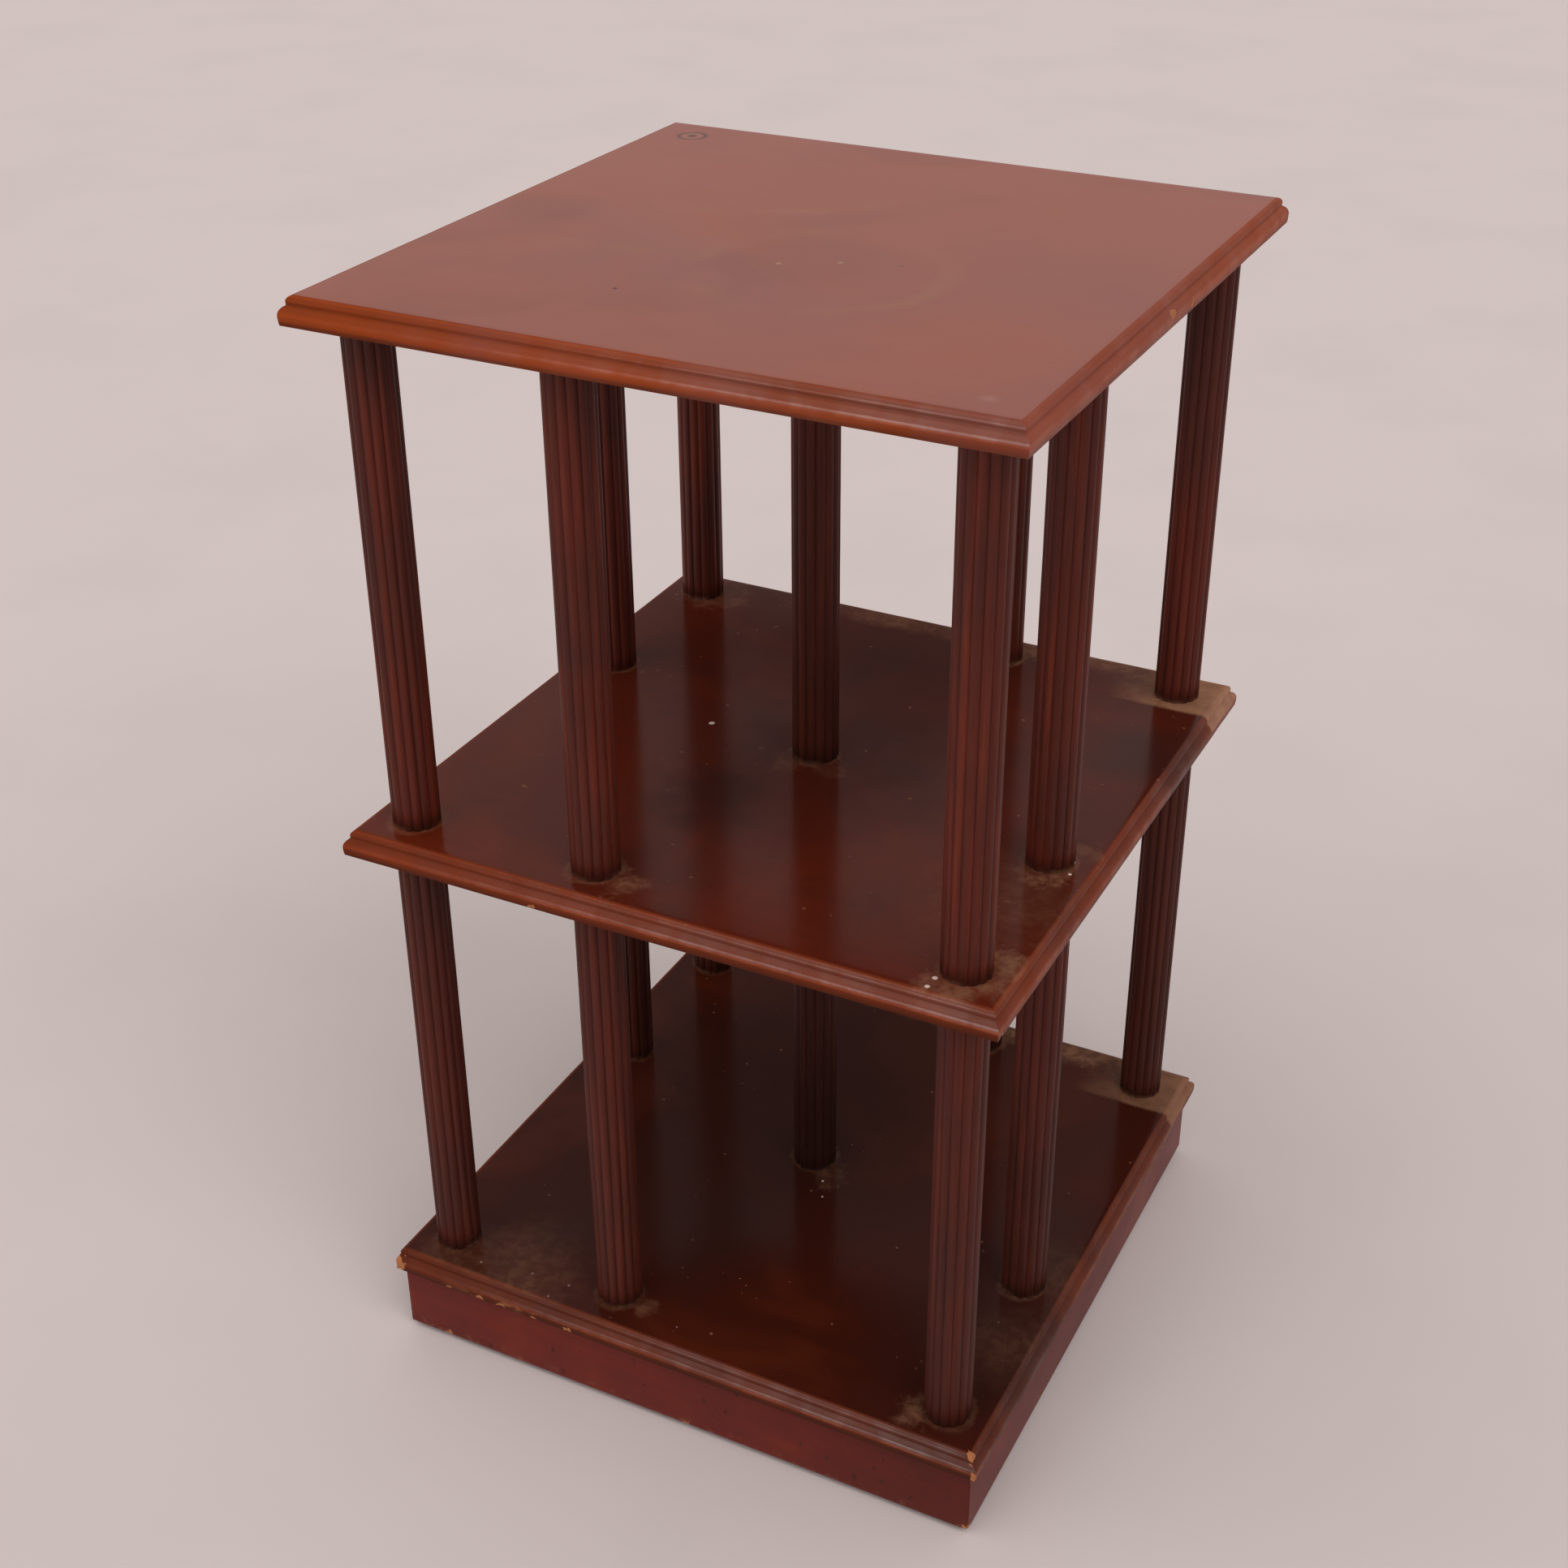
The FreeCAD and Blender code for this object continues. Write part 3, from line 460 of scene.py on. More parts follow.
    def milky_arcs(self, wander):
        """The ring of a lamp's foot, an arc behind it and a smear beside it."""
        ring, far_arc = [self.near(self.distance(spot) + wander, radius, width)
                         for spot, radius, width in TOP_ARCS]
        ring = ring * (0.4 + 0.6 * self.fall(self.y, -0.09, 0.01))
        far_arc = far_arc * self.fall(self.distance(FAR_ARC_MIDDLE), 0.05, 0.1)
        smear = self.near(self.y - 0.18 * self.x, -0.043, 0.015) * self.near(self.x, -0.12, 0.08) * 0.8
        return ring.larger(far_arc).larger(smear) * self.rise(self.noise(20, detail=3), 0.36, 0.58)

    def cloud_and_dust(self):
        """Dull dark clouds on a shelf, some of them painted shade and painted dark reflections, then its
        dust and crumbs.
        """
        shift = (0, 0, self.level)
        coarse = self.noise(24, shift=shift, detail=4)
        ragged = self.noise(70, shift=shift, detail=5, roughness=0.7)
        fine = self.noise(130, detail=3)
        wander = 0.016 * (coarse - 0.5) + 0.01 * (ragged - 0.5)
        # Dark clouds, some of them painted shade and painted dark reflections.
        for spot, reach, darker, duller in self.look.clouds:
            cloud = self.fall(self.distance(spot) + 3 * wander, 0.2 * reach, reach)
            self.lay(cloud * darker, "shade")
            self.dulled.append((cloud, duller))
        film = self.dust_film(coarse, ragged, fine, wander).larger(self.dust_corner(ragged, wander))
        self.lay(film, "dust")
        self.dulled.append((film, 0.9))
        self.height = self.height + 0.00015 * film * fine
        for spot, size, pale in self.look.crumbs:
            crumb = self.fall(self.distance(spot) + 0.1 * wander, 0.6 * size, size)
            self.lay(crumb * self.upper_side * pale, "crumb")

    def dust_film(self, coarse, ragged, fine, wander):
        """Dust round the columns' feet, along the back, in patches and in specks."""
        far_side = self.rise(0.5 * self.x + 0.5 * self.y, -0.02, 0.17)
        ring = self.fall(self.column_gap() + wander, 1 * MM, 5 * MM) * self.look.ring_dust
        back = self.rise(self.y + wander, 0.205, 0.222) * self.rise(self.x + 3 * wander, -0.21, 0.1)
        film = (ring * (0.3 + 0.3 * far_side)).larger(back * 0.6)
        for spot, reach, strength, torn in self.look.dust:
            distance = self.distance(spot) + torn * reach * (ragged - 0.5) + 1.2 * reach * (coarse - 0.5)
            film = film.larger(self.fall(distance, 0.2 * reach, reach) * strength)
        film = film * (0.5 + 0.5 * self.rise(coarse, 0.35, 0.62))
        film = film * (0.5 + 0.5 * self.rise(fine, 0.4, 0.6))
        specks = self.rise(self.noise(230, detail=0), 0.815, 0.835) * self.rise(coarse, 0.5, 0.6) * 0.4
        return film.larger(specks) * self.rise(self.up, self.thickness - 2 * MM, self.thickness)

    def dust_corner(self, ragged, wander):
        """Thick dust in the corner that the books left free."""
        corner = self.rise(self.y + 0.2 * wander, 0.175, 0.18)
        corner = corner * self.rise(self.x + 1.5 * wander, 0.15, 0.205)
        corner = corner * (0.7 + 0.3 * self.rise(ragged, 0.35, 0.6)) * self.look.corner_dust
        return corner * self.rise(self.up, 4 * MM, 8 * MM)

    def column_gap(self):
        """Distance in plan from the surface of the nearest column."""
        nearest = None
        for name in COLUMNS:
            distance = self.distance(spot_of("lower_column_" + name))
            nearest = distance if nearest is None else nearest.smaller(distance)
        return nearest - settings().column.radius


def column_finish():
    """Dark reeds: painted shade in the valleys, worn crests, streaks, and painted shade low down and under
    the top board.
    """
    wood = Finish("mahogany_columns", tone("column"))
    x, y, z = wood.axes()
    crest = wood.attribute("reed_height")
    foot = wood.attribute("foot_gap")
    streak, pore = wood.streaks("Z")
    clouds = wood.noise(9, detail=2, warp=0.4)
    worn = wood.noise(40, stretch=(1, 1, 0.25), detail=3)
    valley = wood.fall(crest, 0, 0.35)
    wood.layer(clouds, 0.42, 0.7, 0.35, "shade")
    wood.layer(streak, 0.35, 0.65, 0.35, "grime_and_shade")
    wood.lay(wood.fall(streak, 0.3, 0.48) * 0.12, "moulding")
    wood.layer(pore, 0.58, 0.72, 0.22, "grime_and_shade")
    wood.lay(wood.rise(crest, 0.7, 1) * wood.rise(worn, 0.42, 0.72) * 0.1, "moulding")
    # Painted shade in the reed valleys and at the feet.
    wood.lay(valley * 0.1, "grime_and_shade")
    wood.lay(wood.fall(foot, 0.002, 0.012) * 0.4, "grime_and_shade")
    # Painted shade on the lower tier, more towards the back, low on the centre column, and on the left
    # columns under the top board.
    lower_tier = wood.fall(z, SHELF_LEVEL - 0.01, SHELF_LEVEL)
    centre = wood.fall(wood.distance((0, 0)), 0.03, 0.05)
    near_top = wood.rise(z, BOARD_BOX[0].z - 0.07, BOARD_BOX[0].z)
    painted_shade = lower_tier * (0.14 + 0.26 * wood.rise(y, -0.15, 0.1))
    painted_shade = painted_shade + wood.fall(foot, 0.06, 0.24) * (0.12 * lower_tier + 0.36 * centre)
    painted_shade = painted_shade + near_top * wood.fall(x, -0.15, 0.1) * 0.3
    wood.lay(painted_shade, "grime_and_shade")
    dust = wood.fall(foot, 0, 0.004) * wood.rise(worn, 0.4, 0.65) * 0.4
    wood.lay(dust, "dust")
    height = -0.00004 * wood.rise(pore, 0.6, 0.74) - 0.00008 * streak - 0.0001 * valley
    return wood.surface(0.4 + 0.16 * worn + 0.3 * dust, height, specular=WAXED)


def plinth_finish():
    """Stained rails: grain along each side, mottles, scuffs near the floor and chipped edges."""
    low = RAIL_BOX[0].z
    high = RAIL_BOX[1].z
    wood = Finish("mahogany_plinth", tone("plinth"))
    x, y, z = wood.axes()
    streak, pore = wood.side_streaks(x, y)
    clouds = wood.noise(13, detail=3, warp=0.6)
    flecks = wood.noise(190, detail=2)
    wood.layer(clouds, 0.48, 0.75, 0.25, "shade")
    wood.layer(streak, 0.35, 0.75, 0.14, "grime_and_shade")
    wood.layer(pore, 0.62, 0.75, 0.1, "grime_and_shade")
    wood.lay(wood.fall(clouds, 0.3, 0.48) * 0.2, "moulding")
    scuff = wood.fall(z, low, low + 0.01) * wood.rise(flecks, 0.54, 0.68)
    wood.lay(scuff * 0.25, "dust")
    # Darker towards the right end of the front.
    wood.lay(wood.rise(x, 0.03, 0.22) * abs(y).above(abs(x)) * 0.32, "grime_and_shade")
    spots = wood.rise(wood.noise(140, shift=(0.7, 0, 0), detail=0), 0.77, 0.8)
    # A painted shadow along the top, under the bottom board's moulding, and dark spots.
    wood.lay((wood.rise(z, high - 0.004, high) * 0.6).larger(spots * 0.6), "grime_and_shade")
    raw = wood.rise(wood.attribute("raw_wood") + 0.5 * (flecks - 0.5), *RAW_WOOD_SHOWS)
    wood.lay(raw, "raw_wood")
    roughness = 0.3 + 0.12 * clouds + 0.2 * scuff + 0.3 * raw
    height = -0.00003 * wood.rise(pore, 0.6, 0.75) - 0.0001 * wood.noise(28, detail=2)
    return wood.surface(roughness, height, specular=WAXED)


def bare_wood(name, stain, along, ring_pitch):
    """Unfinished wood: growth bands, fibres and a little dirt."""
    wood = Finish(name, tone(stain))
    streak, pore = wood.streaks(along)
    stretch = [2 if axis == along else ring_pitch for axis in "XYZ"]
    bands = wood.noise(1, stretch, detail=1, warp=0.6)
    dirt = wood.noise(11, detail=4)
    wood.layer(bands, 0.46, 0.58, 0.35, "raw_wood")
    wood.layer(streak, 0.45, 0.75, 0.3, "moulding")
    wood.layer(dirt, 0.45, 0.8, 0.45, "grime_and_shade")
    return wood.surface(0.62 + 0.2 * streak, -0.0001 * pore - 0.0001 * streak)


def plywood():
    """Cross-laid layers that show at the rim, with face grain above and below."""
    wood = Finish("plywood_turntable", tone("deal"))
    height = wood.axes()[2]
    streak, pore = wood.streaks("X")
    layer = wood.node("ShaderNodeMath", {"operation": "PINGPONG"}, {0: height, 1: 0.0016})
    dark_layer = wood.rise(layer, 0.0007, 0.0009)
    dirt = wood.noise(9, detail=4)
    wood.lay(dark_layer * 0.45, "raw_wood")
    wood.layer(streak, 0.4, 0.75, 0.25, "moulding")
    wood.layer(dirt, 0.42, 0.8, 0.45, "grime_and_shade")
    return wood.surface(0.6 + 0.2 * pore, -0.0001 * pore - 0.00015 * dark_layer)


def metal(name, plating, shine):
    """Dulled metal with fine marks and dark specks."""
    finish = Finish(name, tone(plating))
    marks = finish.noise(1, (900, 900, 120), detail=3)
    tarnish = finish.rise(finish.noise(45, detail=4), 0.52, 0.78)
    finish.lay(tarnish * 0.55, "grime_and_shade")
    height = 0.00001 * marks - 0.00002 * tarnish
    return finish.surface(shine + 0.18 * marks + 0.25 * tarnish, height, metallic=1 - 0.4 * tarnish)


def moulded_plastic():
    """Matte plastic, scuffed at the floor."""
    finish = Finish("plastic_glides", tone("plastic"))
    height = finish.axes()[2]
    texture = finish.noise(900, detail=2)
    scuff = finish.fall(height, 0, 0.002) * finish.rise(finish.noise(130, detail=3), 0.42, 0.62)
    finish.lay(scuff * 0.5, "dust")
    return finish.surface(0.5 + 0.1 * texture + 0.2 * scuff, 0.00003 * texture)


# ---- Making pieces ----

BOARD_CUTS = 239  # fine enough for the chips
COLUMN_CUTS = 23
RAIL_CUTS = 159
CAP_INSET = 0.006  # a band round the flat faces
RAIL_CHIP_LEVELS = (0.003, 0.006, 0.009)  # cuts above the foot of a rail
LONG_WAVES = 45  # waves to the metre
SHORT_WAVES = 160
CHIP_WAVES = 330
REED_WAVES = 220
BOARD_CREASE = 35  # degrees from which an edge is sharp
COLUMN_CREASE = 50


def settings():
    return bpy.context.scene.bookcase


def spot_of(node):
    """The middle of a node, in plan."""
    low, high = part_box(node)
    return (low.x + high.x) / 2, (low.y + high.y) / 2


def verts_of(geometry):
    return [item for item in geometry if isinstance(item, bmesh.types.BMVert)]


def longer_edges(mesh, length):
    return [edge for edge in mesh.edges if edge.calc_length() > length]


def close_ends(mesh):
    """Fill the open loops of a mesh."""
    return bmesh.ops.holes_fill(mesh, edges=[edge for edge in mesh.edges if edge.is_boundary])["faces"]


class Pen:
    """Draws a section in the XZ plane."""

    def __init__(self, mesh, start):
        self.mesh = mesh
        self.tip = mesh.verts.new(start)

    def line(self, x, z):
        made = bmesh.ops.extrude_vert_indiv(self.mesh, verts=[self.tip])
        self.tip = made["verts"][0]
        self.tip.co = (x, 0, z)

    def arc(self, x, z, angle, steps):
        """Swing round a centre, from up towards +X."""
        made = bmesh.ops.spin(self.mesh, geom=[self.tip], cent=(x, 0, z), axis=(0, 1, 0), angle=angle,
                              steps=steps)
        self.tip = verts_of(made["geom_last"])[0]


def draw_moulding(mesh, sizes):
    """The moulding's section, from the arris down to the foot."""
    arris = sizes.half_side - sizes.arris_inset
    bead_side = arris + sizes.bead_radius
    bead_foot = sizes.thickness - sizes.bead_radius
    quirk_foot = bead_foot - sizes.quirk_depth
    swell = sizes.thickness - sizes.swell_depth
    shoulder = sizes.half_side - bead_side
    drop = quirk_foot - swell
    upper_radius = (shoulder ** 2 + drop ** 2) / (2 * shoulder)
    lower_radius = (sizes.foot_inset ** 2 + swell ** 2) / (2 * sizes.foot_inset)
    pen = Pen(mesh, (arris, 0, sizes.thickness))
    pen.arc(arris, bead_foot, math.pi / 2, 6)
    pen.line(bead_side - sizes.quirk_sink, bead_foot - 0.1 * sizes.quirk_depth)
    pen.line(bead_side - sizes.quirk_sink, quirk_foot + 0.1 * sizes.quirk_depth)
    pen.line(bead_side, quirk_foot)
    pen.arc(sizes.half_side - upper_radius, swell, math.asin(drop / upper_radius), 8)
    pen.arc(sizes.half_side - lower_radius, swell, math.asin(swell / lower_radius), 4)


def moulded_board(sizes, level):
    """A square board: its section, set on the diagonal, is spun to the four corners."""
    mesh = bmesh.new()
    draw_moulding(mesh, sizes)
    bmesh.ops.scale(mesh, vec=(math.sqrt(2), 1, 1), verts=mesh.verts)
    bmesh.ops.rotate(mesh, verts=mesh.verts, matrix=Matrix.Rotation(math.pi / 4, 3, "Z"))
    bmesh.ops.spin(mesh, geom=mesh.verts[:] + mesh.edges[:], axis=Z_AXIS, angle=math.tau, steps=4,
                   use_merge=True)
    bmesh.ops.remove_doubles(mesh, verts=mesh.verts, dist=1e-6)
    long_edges = longer_edges(mesh, sizes.half_side)
    bmesh.ops.inset_region(mesh, faces=close_ends(mesh), thickness=CAP_INSET)
    bmesh.ops.subdivide_edges(mesh, edges=long_edges, cuts=BOARD_CUTS, use_grid_fill=True)
    many_sided = [face for face in mesh.faces if len(face.verts) > 4]
    bmesh.ops.triangulate(mesh, faces=many_sided, ngon_method="BEAUTY")
    bmesh.ops.translate(mesh, vec=(0, 0, level), verts=mesh.verts)
    arris = sizes.half_side - sizes.arris_inset
    for face in mesh.faces:
        middle = face.calc_center_median()
        face.material_index = int(max(abs(middle.x), abs(middle.y)) > arris)
    return mesh


def inward(spot, inner):
    """Level direction from an edge of a square towards its middle, diagonal at a corner."""
    pull = [-math.copysign(1, place) if abs(place) > inner else 0 for place in spot.xy]
    return Vector((*pull, 0)).normalized()


def wear_edges(mesh, inner, amount, chips):
    """Let the outer edges wander, and bite chips out of them. raw_wood says how bare they are."""
    raw = mesh.verts.layers.float.new("raw_wood")
    for vert in mesh.verts:
        spot = vert.co.copy()
        pull = inward(spot, inner)
        if not pull.length:
            continue
        wander = max(noise.noise(spot * LONG_WAVES) + 0.5 * noise.noise(spot * SHORT_WAVES), 0)
        vert.co += pull * amount * wander
        for centre, reach, depth in chips:
            bite = 1 - (spot - Vector(centre)).length / reach + 0.7 * noise.noise(spot * CHIP_WAVES)
            if bite > 0:
                vert.co += pull * depth * min(bite, 1)
                vert[raw] = max(vert[raw], min(2 * bite, 1))


def reeded_column(sizes, spot, low, high):
    """One reed is spun, repeated round the axis, raised to full length and closed."""
    mesh = bmesh.new()
    ring = sizes.radius - sizes.reed_radius
    half_pitch = math.pi / sizes.reed_count
    valley = math.sqrt(sizes.reed_radius ** 2 - (ring * math.sin(half_pitch)) ** 2)
    valley = ring * math.cos(half_pitch) + valley
    start = Vector((valley * math.cos(half_pitch), -valley * math.sin(half_pitch), 0))
    half_arc = math.atan2(-start.y, start.x - ring)
    bmesh.ops.spin(mesh, geom=[mesh.verts.new(start)], cent=(ring, 0, 0), axis=Z_AXIS, angle=2 * half_arc,
                   steps=8)
    bmesh.ops.spin(mesh, geom=mesh.verts[:] + mesh.edges[:], axis=Z_AXIS, angle=math.tau,
                   steps=sizes.reed_count, use_duplicate=True)
    bmesh.ops.remove_doubles(mesh, verts=mesh.verts, dist=1e-5)
    eased = 1 - sizes.end_round / sizes.radius
    loop = mesh.edges[:]
    bmesh.ops.scale(mesh, vec=(eased, eased, 1), verts=mesh.verts)
    shaft = high - low - 2 * sizes.end_round
    for rise, spread in ((sizes.end_round, 1 / eased), (shaft, 1), (sizes.end_round, eased)):
        made = bmesh.ops.extrude_edge_only(mesh, edges=loop)["geom"]
        verts = verts_of(made)
        loop = [item for item in made if isinstance(item, bmesh.types.BMEdge)]
        bmesh.ops.scale(mesh, vec=(spread, spread, 1), verts=verts)
        bmesh.ops.translate(mesh, vec=(0, 0, rise), verts=verts)
    long_edges = longer_edges(mesh, 2 * sizes.radius)
    bmesh.ops.subdivide_edges(mesh, edges=long_edges, cuts=COLUMN_CUTS, use_grid_fill=True)
    close_ends(mesh)
    crest_layer = mesh.verts.layers.float.new("reed_height")
    foot_layer = mesh.verts.layers.float.new("foot_gap")
    for vert in mesh.verts:
        out = vert.co.xy.length
        vert[crest_layer] = max((out - valley) / (sizes.radius - valley), 0)
        vert[foot_layer] = vert.co.z
        place = Vector((vert.co.x + spot[0], vert.co.y + spot[1], (vert.co.z + low) * 0.3))
        vert.co.xy *= 1 - sizes.wear / out * max(noise.noise(place * REED_WAVES), 0)
    bmesh.ops.translate(mesh, vec=(*spot, low), verts=mesh.verts)
    return mesh


def plinth_rail(sizes, turn):
    """A rail with mitred ends and worn edges, turned to its side of the plinth."""
    low, high = RAIL_BOX
    mesh = bmesh.new()
    bmesh.ops.create_cube(mesh, size=1)
    bmesh.ops.scale(mesh, vec=high - low, verts=mesh.verts)
    bmesh.ops.translate(mesh, vec=(low + high) / 2, verts=mesh.verts)
    inner = [vert for vert in mesh.verts if vert.co.y > (low.y + high.y) / 2]
    bmesh.ops.scale(mesh, vec=(1 - sizes.thickness / high.x, 1, 1), verts=inner)
    outer = [edge for edge in mesh.edges if not set(edge.verts) & set(inner)]
    bmesh.ops.bevel(mesh, geom=outer, offset=sizes.edge_round, segments=3, profile=0.5, material=-1,
                    affect="EDGES")
    long_edges = longer_edges(mesh, high.x)
    bmesh.ops.subdivide_edges(mesh, edges=long_edges, cuts=RAIL_CUTS, use_grid_fill=True)
    for rise in RAIL_CHIP_LEVELS:
        geometry = mesh.verts[:] + mesh.edges[:] + mesh.faces[:]
        bmesh.ops.bisect_plane(mesh, geom=geometry, plane_co=(0, 0, low.z + rise), plane_no=Z_AXIS)
    bmesh.ops.rotate(mesh, verts=mesh.verts, matrix=Matrix.Rotation(turn, 3, "Z"))
    return mesh


def add_object(name, data):
    made = bpy.data.objects.new(name, data)
    bpy.context.scene.collection.objects.link(made)
    return made


def add_mesh(mesh, name, finishes):
    data = bpy.data.meshes.new(name)
    mesh.to_mesh(data)
    mesh.free()
    for finish in finishes:
        data.materials.append(finish)
    return add_object(name, data)


def add_piece(mesh, name, node, finishes, crease):
    """Add an object that stands for a node of the case and turns with it."""
    bmesh.ops.recalc_face_normals(mesh, faces=mesh.faces)
    piece = add_mesh(mesh, name, finishes)
    piece.data.shade_smooth()
    piece.data.set_sharp_from_angle(angle=math.radians(crease))
    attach(piece, CASE)
    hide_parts(node)


def paint(nodes, finish):
    """Give carried-over nodes a finish."""
    for node in nodes:
        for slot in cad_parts[node].material_slots:
            slot.material = finish


# ---- Marks and wear ----

HANDLED_END = 0.23  # place along X up to which the moulding is more and more rubbed
RAW_WOOD_SHOWS = (0.25, 0.45)  # from no bare wood to nothing but bare wood
WAXED = 0.17  # specular level of the columns and the plinth
PLUG = (-0.2017, 0.2024)
DENT = (0.2055, -0.2115)
TOP_ARCS = (
    # middle in plan, radius, half width
    ((0.0276, -0.0512), 0.08, 0.012),
    ((-0.14, 0.219), 0.188, 0.013),
)
FAR_ARC_MIDDLE = (-0.05, 0.065)  # where the second arc shows
TOP_SMUDGES = (
    # place in plan, reach, strength
    ((0.012, -0.033), 0.08, 0.12),
    ((-0.197, -0.008), 0.05, 0.17),
)
TOP_SPECKS = (
    # place in plan, radius, colour
    ((-0.002, -0.049), 0.0026, "dust"),
    ((0.032, -0.031), 0.0024, "dust"),
    ((-0.067, -0.137), 0.002, "grime_and_shade"),
    ((0.069, -0.021), 0.0012, "grime_and_shade"),
)
# Clouds, among them painted shade and painted dark reflections: place in plan, reach, how much darker, how
# much duller.
MIDDLE_CLOUDS_AND_SHADE = (
    ((-0.042, -0.088), 0.055, 0.6, 0.3),
    # Painted shade in the middle, under the top board.
    ((0.01, -0.045), 0.13, 0.35, 0.35),
    ((-0.04, 0.09), 0.24, 0.35, 0.3),
    # Painted shade at the back.
    ((0, 0.22), 0.24, 0.25, 0.55),
    # The next two are painted dark reflections of columns.
    ((0.225, 0.115), 0.085, 0.65, 0),
    ((0.2, -0.11), 0.07, 0.35, 0.15),
    ((-0.19, 0.13), 0.15, 0.2, 0.35),
    ((0.06, 0.06), 0.12, 0.15, 0.2),
)
BOTTOM_CLOUDS_AND_SHADE = (
    ((-0.051, -0.114), 0.09, 0.5, 0.1),
    ((-0.06, 0.02), 0.2, 0.5, 0.35),
    # Painted shade at the back.
    ((0, 0.17), 0.26, 0.6, 0.5),
    ((0.205, -0.13), 0.11, 0.7, 0.2),
)
# Dust: place in plan, reach, strength, how ragged.
MIDDLE_DUST = (
    ((0.224, -0.186), 0.026, 0.6, 3),
    ((0.205, -0.227), 0.022, 0.55, 1.6),
    ((0.186, -0.226), 0.016, 0.45, 1.6),
    ((0.224, -0.212), 0.018, 0.5, 2),
    ((0.206, -0.081), 0.022, 0.5, 2.4),
    ((0.222, -0.04), 0.018, 0.3, 2.4),
    ((0.205, -0.12), 0.08, 0.13, 1),
    ((-0.191, 0.203), 0.034, 0.45, 2.4),
    ((-0.012, -0.02), 0.02, 0.22, 2.4),
    ((0.02, -0.016), 0.018, 0.18, 2.4),
    ((-0.036, -0.213), 0.02, 0.42, 2.4),
)
BOTTOM_DUST = (
    ((-0.15, -0.222), 0.074, 0.22, 0.7),
    ((-0.036, -0.208), 0.011, 0.4, 2.4),
    ((0.183, -0.215), 0.02, 0.36, 2.4),
    ((-0.195, -0.215), 0.04, 0.2, 0.7),
    ((0.225, -0.04), 0.05, 0.12, 0.9),
    ((0.222, -0.125), 0.05, 0.12, 0.9),
    ((0.018, -0.016), 0.02, 0.22, 2.4),
)
# Crumbs: place in plan, radius, how pale.
MIDDLE_CRUMBS = (
    ((0.1887, -0.2183), 0.0022, 1),
    ((0.188, -0.2285), 0.0021, 1),
    ((-0.0888, 0.0071), 0.0027, 1),
    ((0.2176, -0.056), 0.0017, 1),
    ((0.221, -0.071), 0.0015, 1),
)
BOTTOM_CRUMBS = (
    ((0.018, -0.023), 0.0013, 1),
    ((0.026, -0.04), 0.0011, 1),
    ((-0.1721, -0.2212), 0.0011, 0.22),
    ((-0.1308, -0.2146), 0.001, 0.16),
    ((-0.1072, -0.23), 0.0012, 0.22),
    ((-0.0993, -0.2137), 0.0013, 0.25),
    ((-0.006, -0.2158), 0.0009, 0.2),
)
# Chips: place, reach, depth.
TOP_CHIPS = (
    ((0.24, -0.006, 0.8125), 0.0045, 0.0009),
    ((0.24, 0.031, 0.809), 0.0035, 0.0007),
)
MIDDLE_CHIPS = (
    ((0.24, -0.233, 0.4325), 0.0035, 0.0008),
    ((-0.09, -0.239, 0.433), 0.003, 0.0006),
)
BOTTOM_CHIPS = (
    ((0.2345, -0.2345, 0.0765), 0.0045, 0.0014),
    ((0.239, -0.239, 0.0635), 0.005, 0.0018),
    ((-0.2395, -0.2395, 0.0665), 0.009, 0.002),
    ((-0.19, -0.239, 0.0612), 0.0028, 0.0006),
    ((-0.163, -0.2395, 0.0615), 0.0034, 0.0007),
    ((-0.145, -0.239, 0.061), 0.0042, 0.0009),
    ((-0.115, -0.239, 0.061), 0.0026, 0.0005),
    ((-0.086, -0.2395, 0.0614), 0.0036, 0.0007),
)
PLINTH_CHIPS = (
    ((0.234, -0.234, 0.0055), 0.005, 0.001),
    ((-0.2, -0.234, 0.005), 0.004, 0.0008),
    ((0.01, -0.234, 0.005), 0.003, 0.0006),
)


class BoardLook(NamedTuple):
    """How a board is stained and worn, in shares of 1. Starts and ends are places along X."""
    # For the middle shelf and the bottom board, the face colour holds painted shade as well as stain.
    stain: str
    thin: float  # how thin the stain is on the edge
    polish: float  # clear coat of the face
    polish_roughness: float
    chips: tuple
    # Dark clouds of the stain, with painted shade and painted dark reflections among them.
    clouds: tuple = ()
    dust: tuple = ()
    crumbs: tuple = ()
    ring_dust: float = 0.0  # round the columns' feet
    corner_dust: float = 0.0
    scuff: tuple = ()  # a rubbed stretch of the front edge: its middle along X, and its reach
    cloud_end: float = 0.76
    cloud_shade: float = 0.42
    blotch_shade: float = 0.25
    streak_shade: float = 0.1
    # Painted shade on the slope above the widest line; the front's right end darker.
    slope_shade: float = 0.22  # above the widest line
    front_slope_shade: float = 0.0  # more of it at the front
    right_end_darker: float = 0.08  # and at the front's right end
    handled_start: float = -0.3
    # Painted shade below the widest line of the front.
    painted_shade: float = 0.26  # below the widest line of the front
    right_painted_shade: float = 0.18
    painted_shade_start: float = -0.3
    painted_shade_end: float = HANDLED_END
    front_sheen: float = 0.4
    lower_sheen: float = 0.0


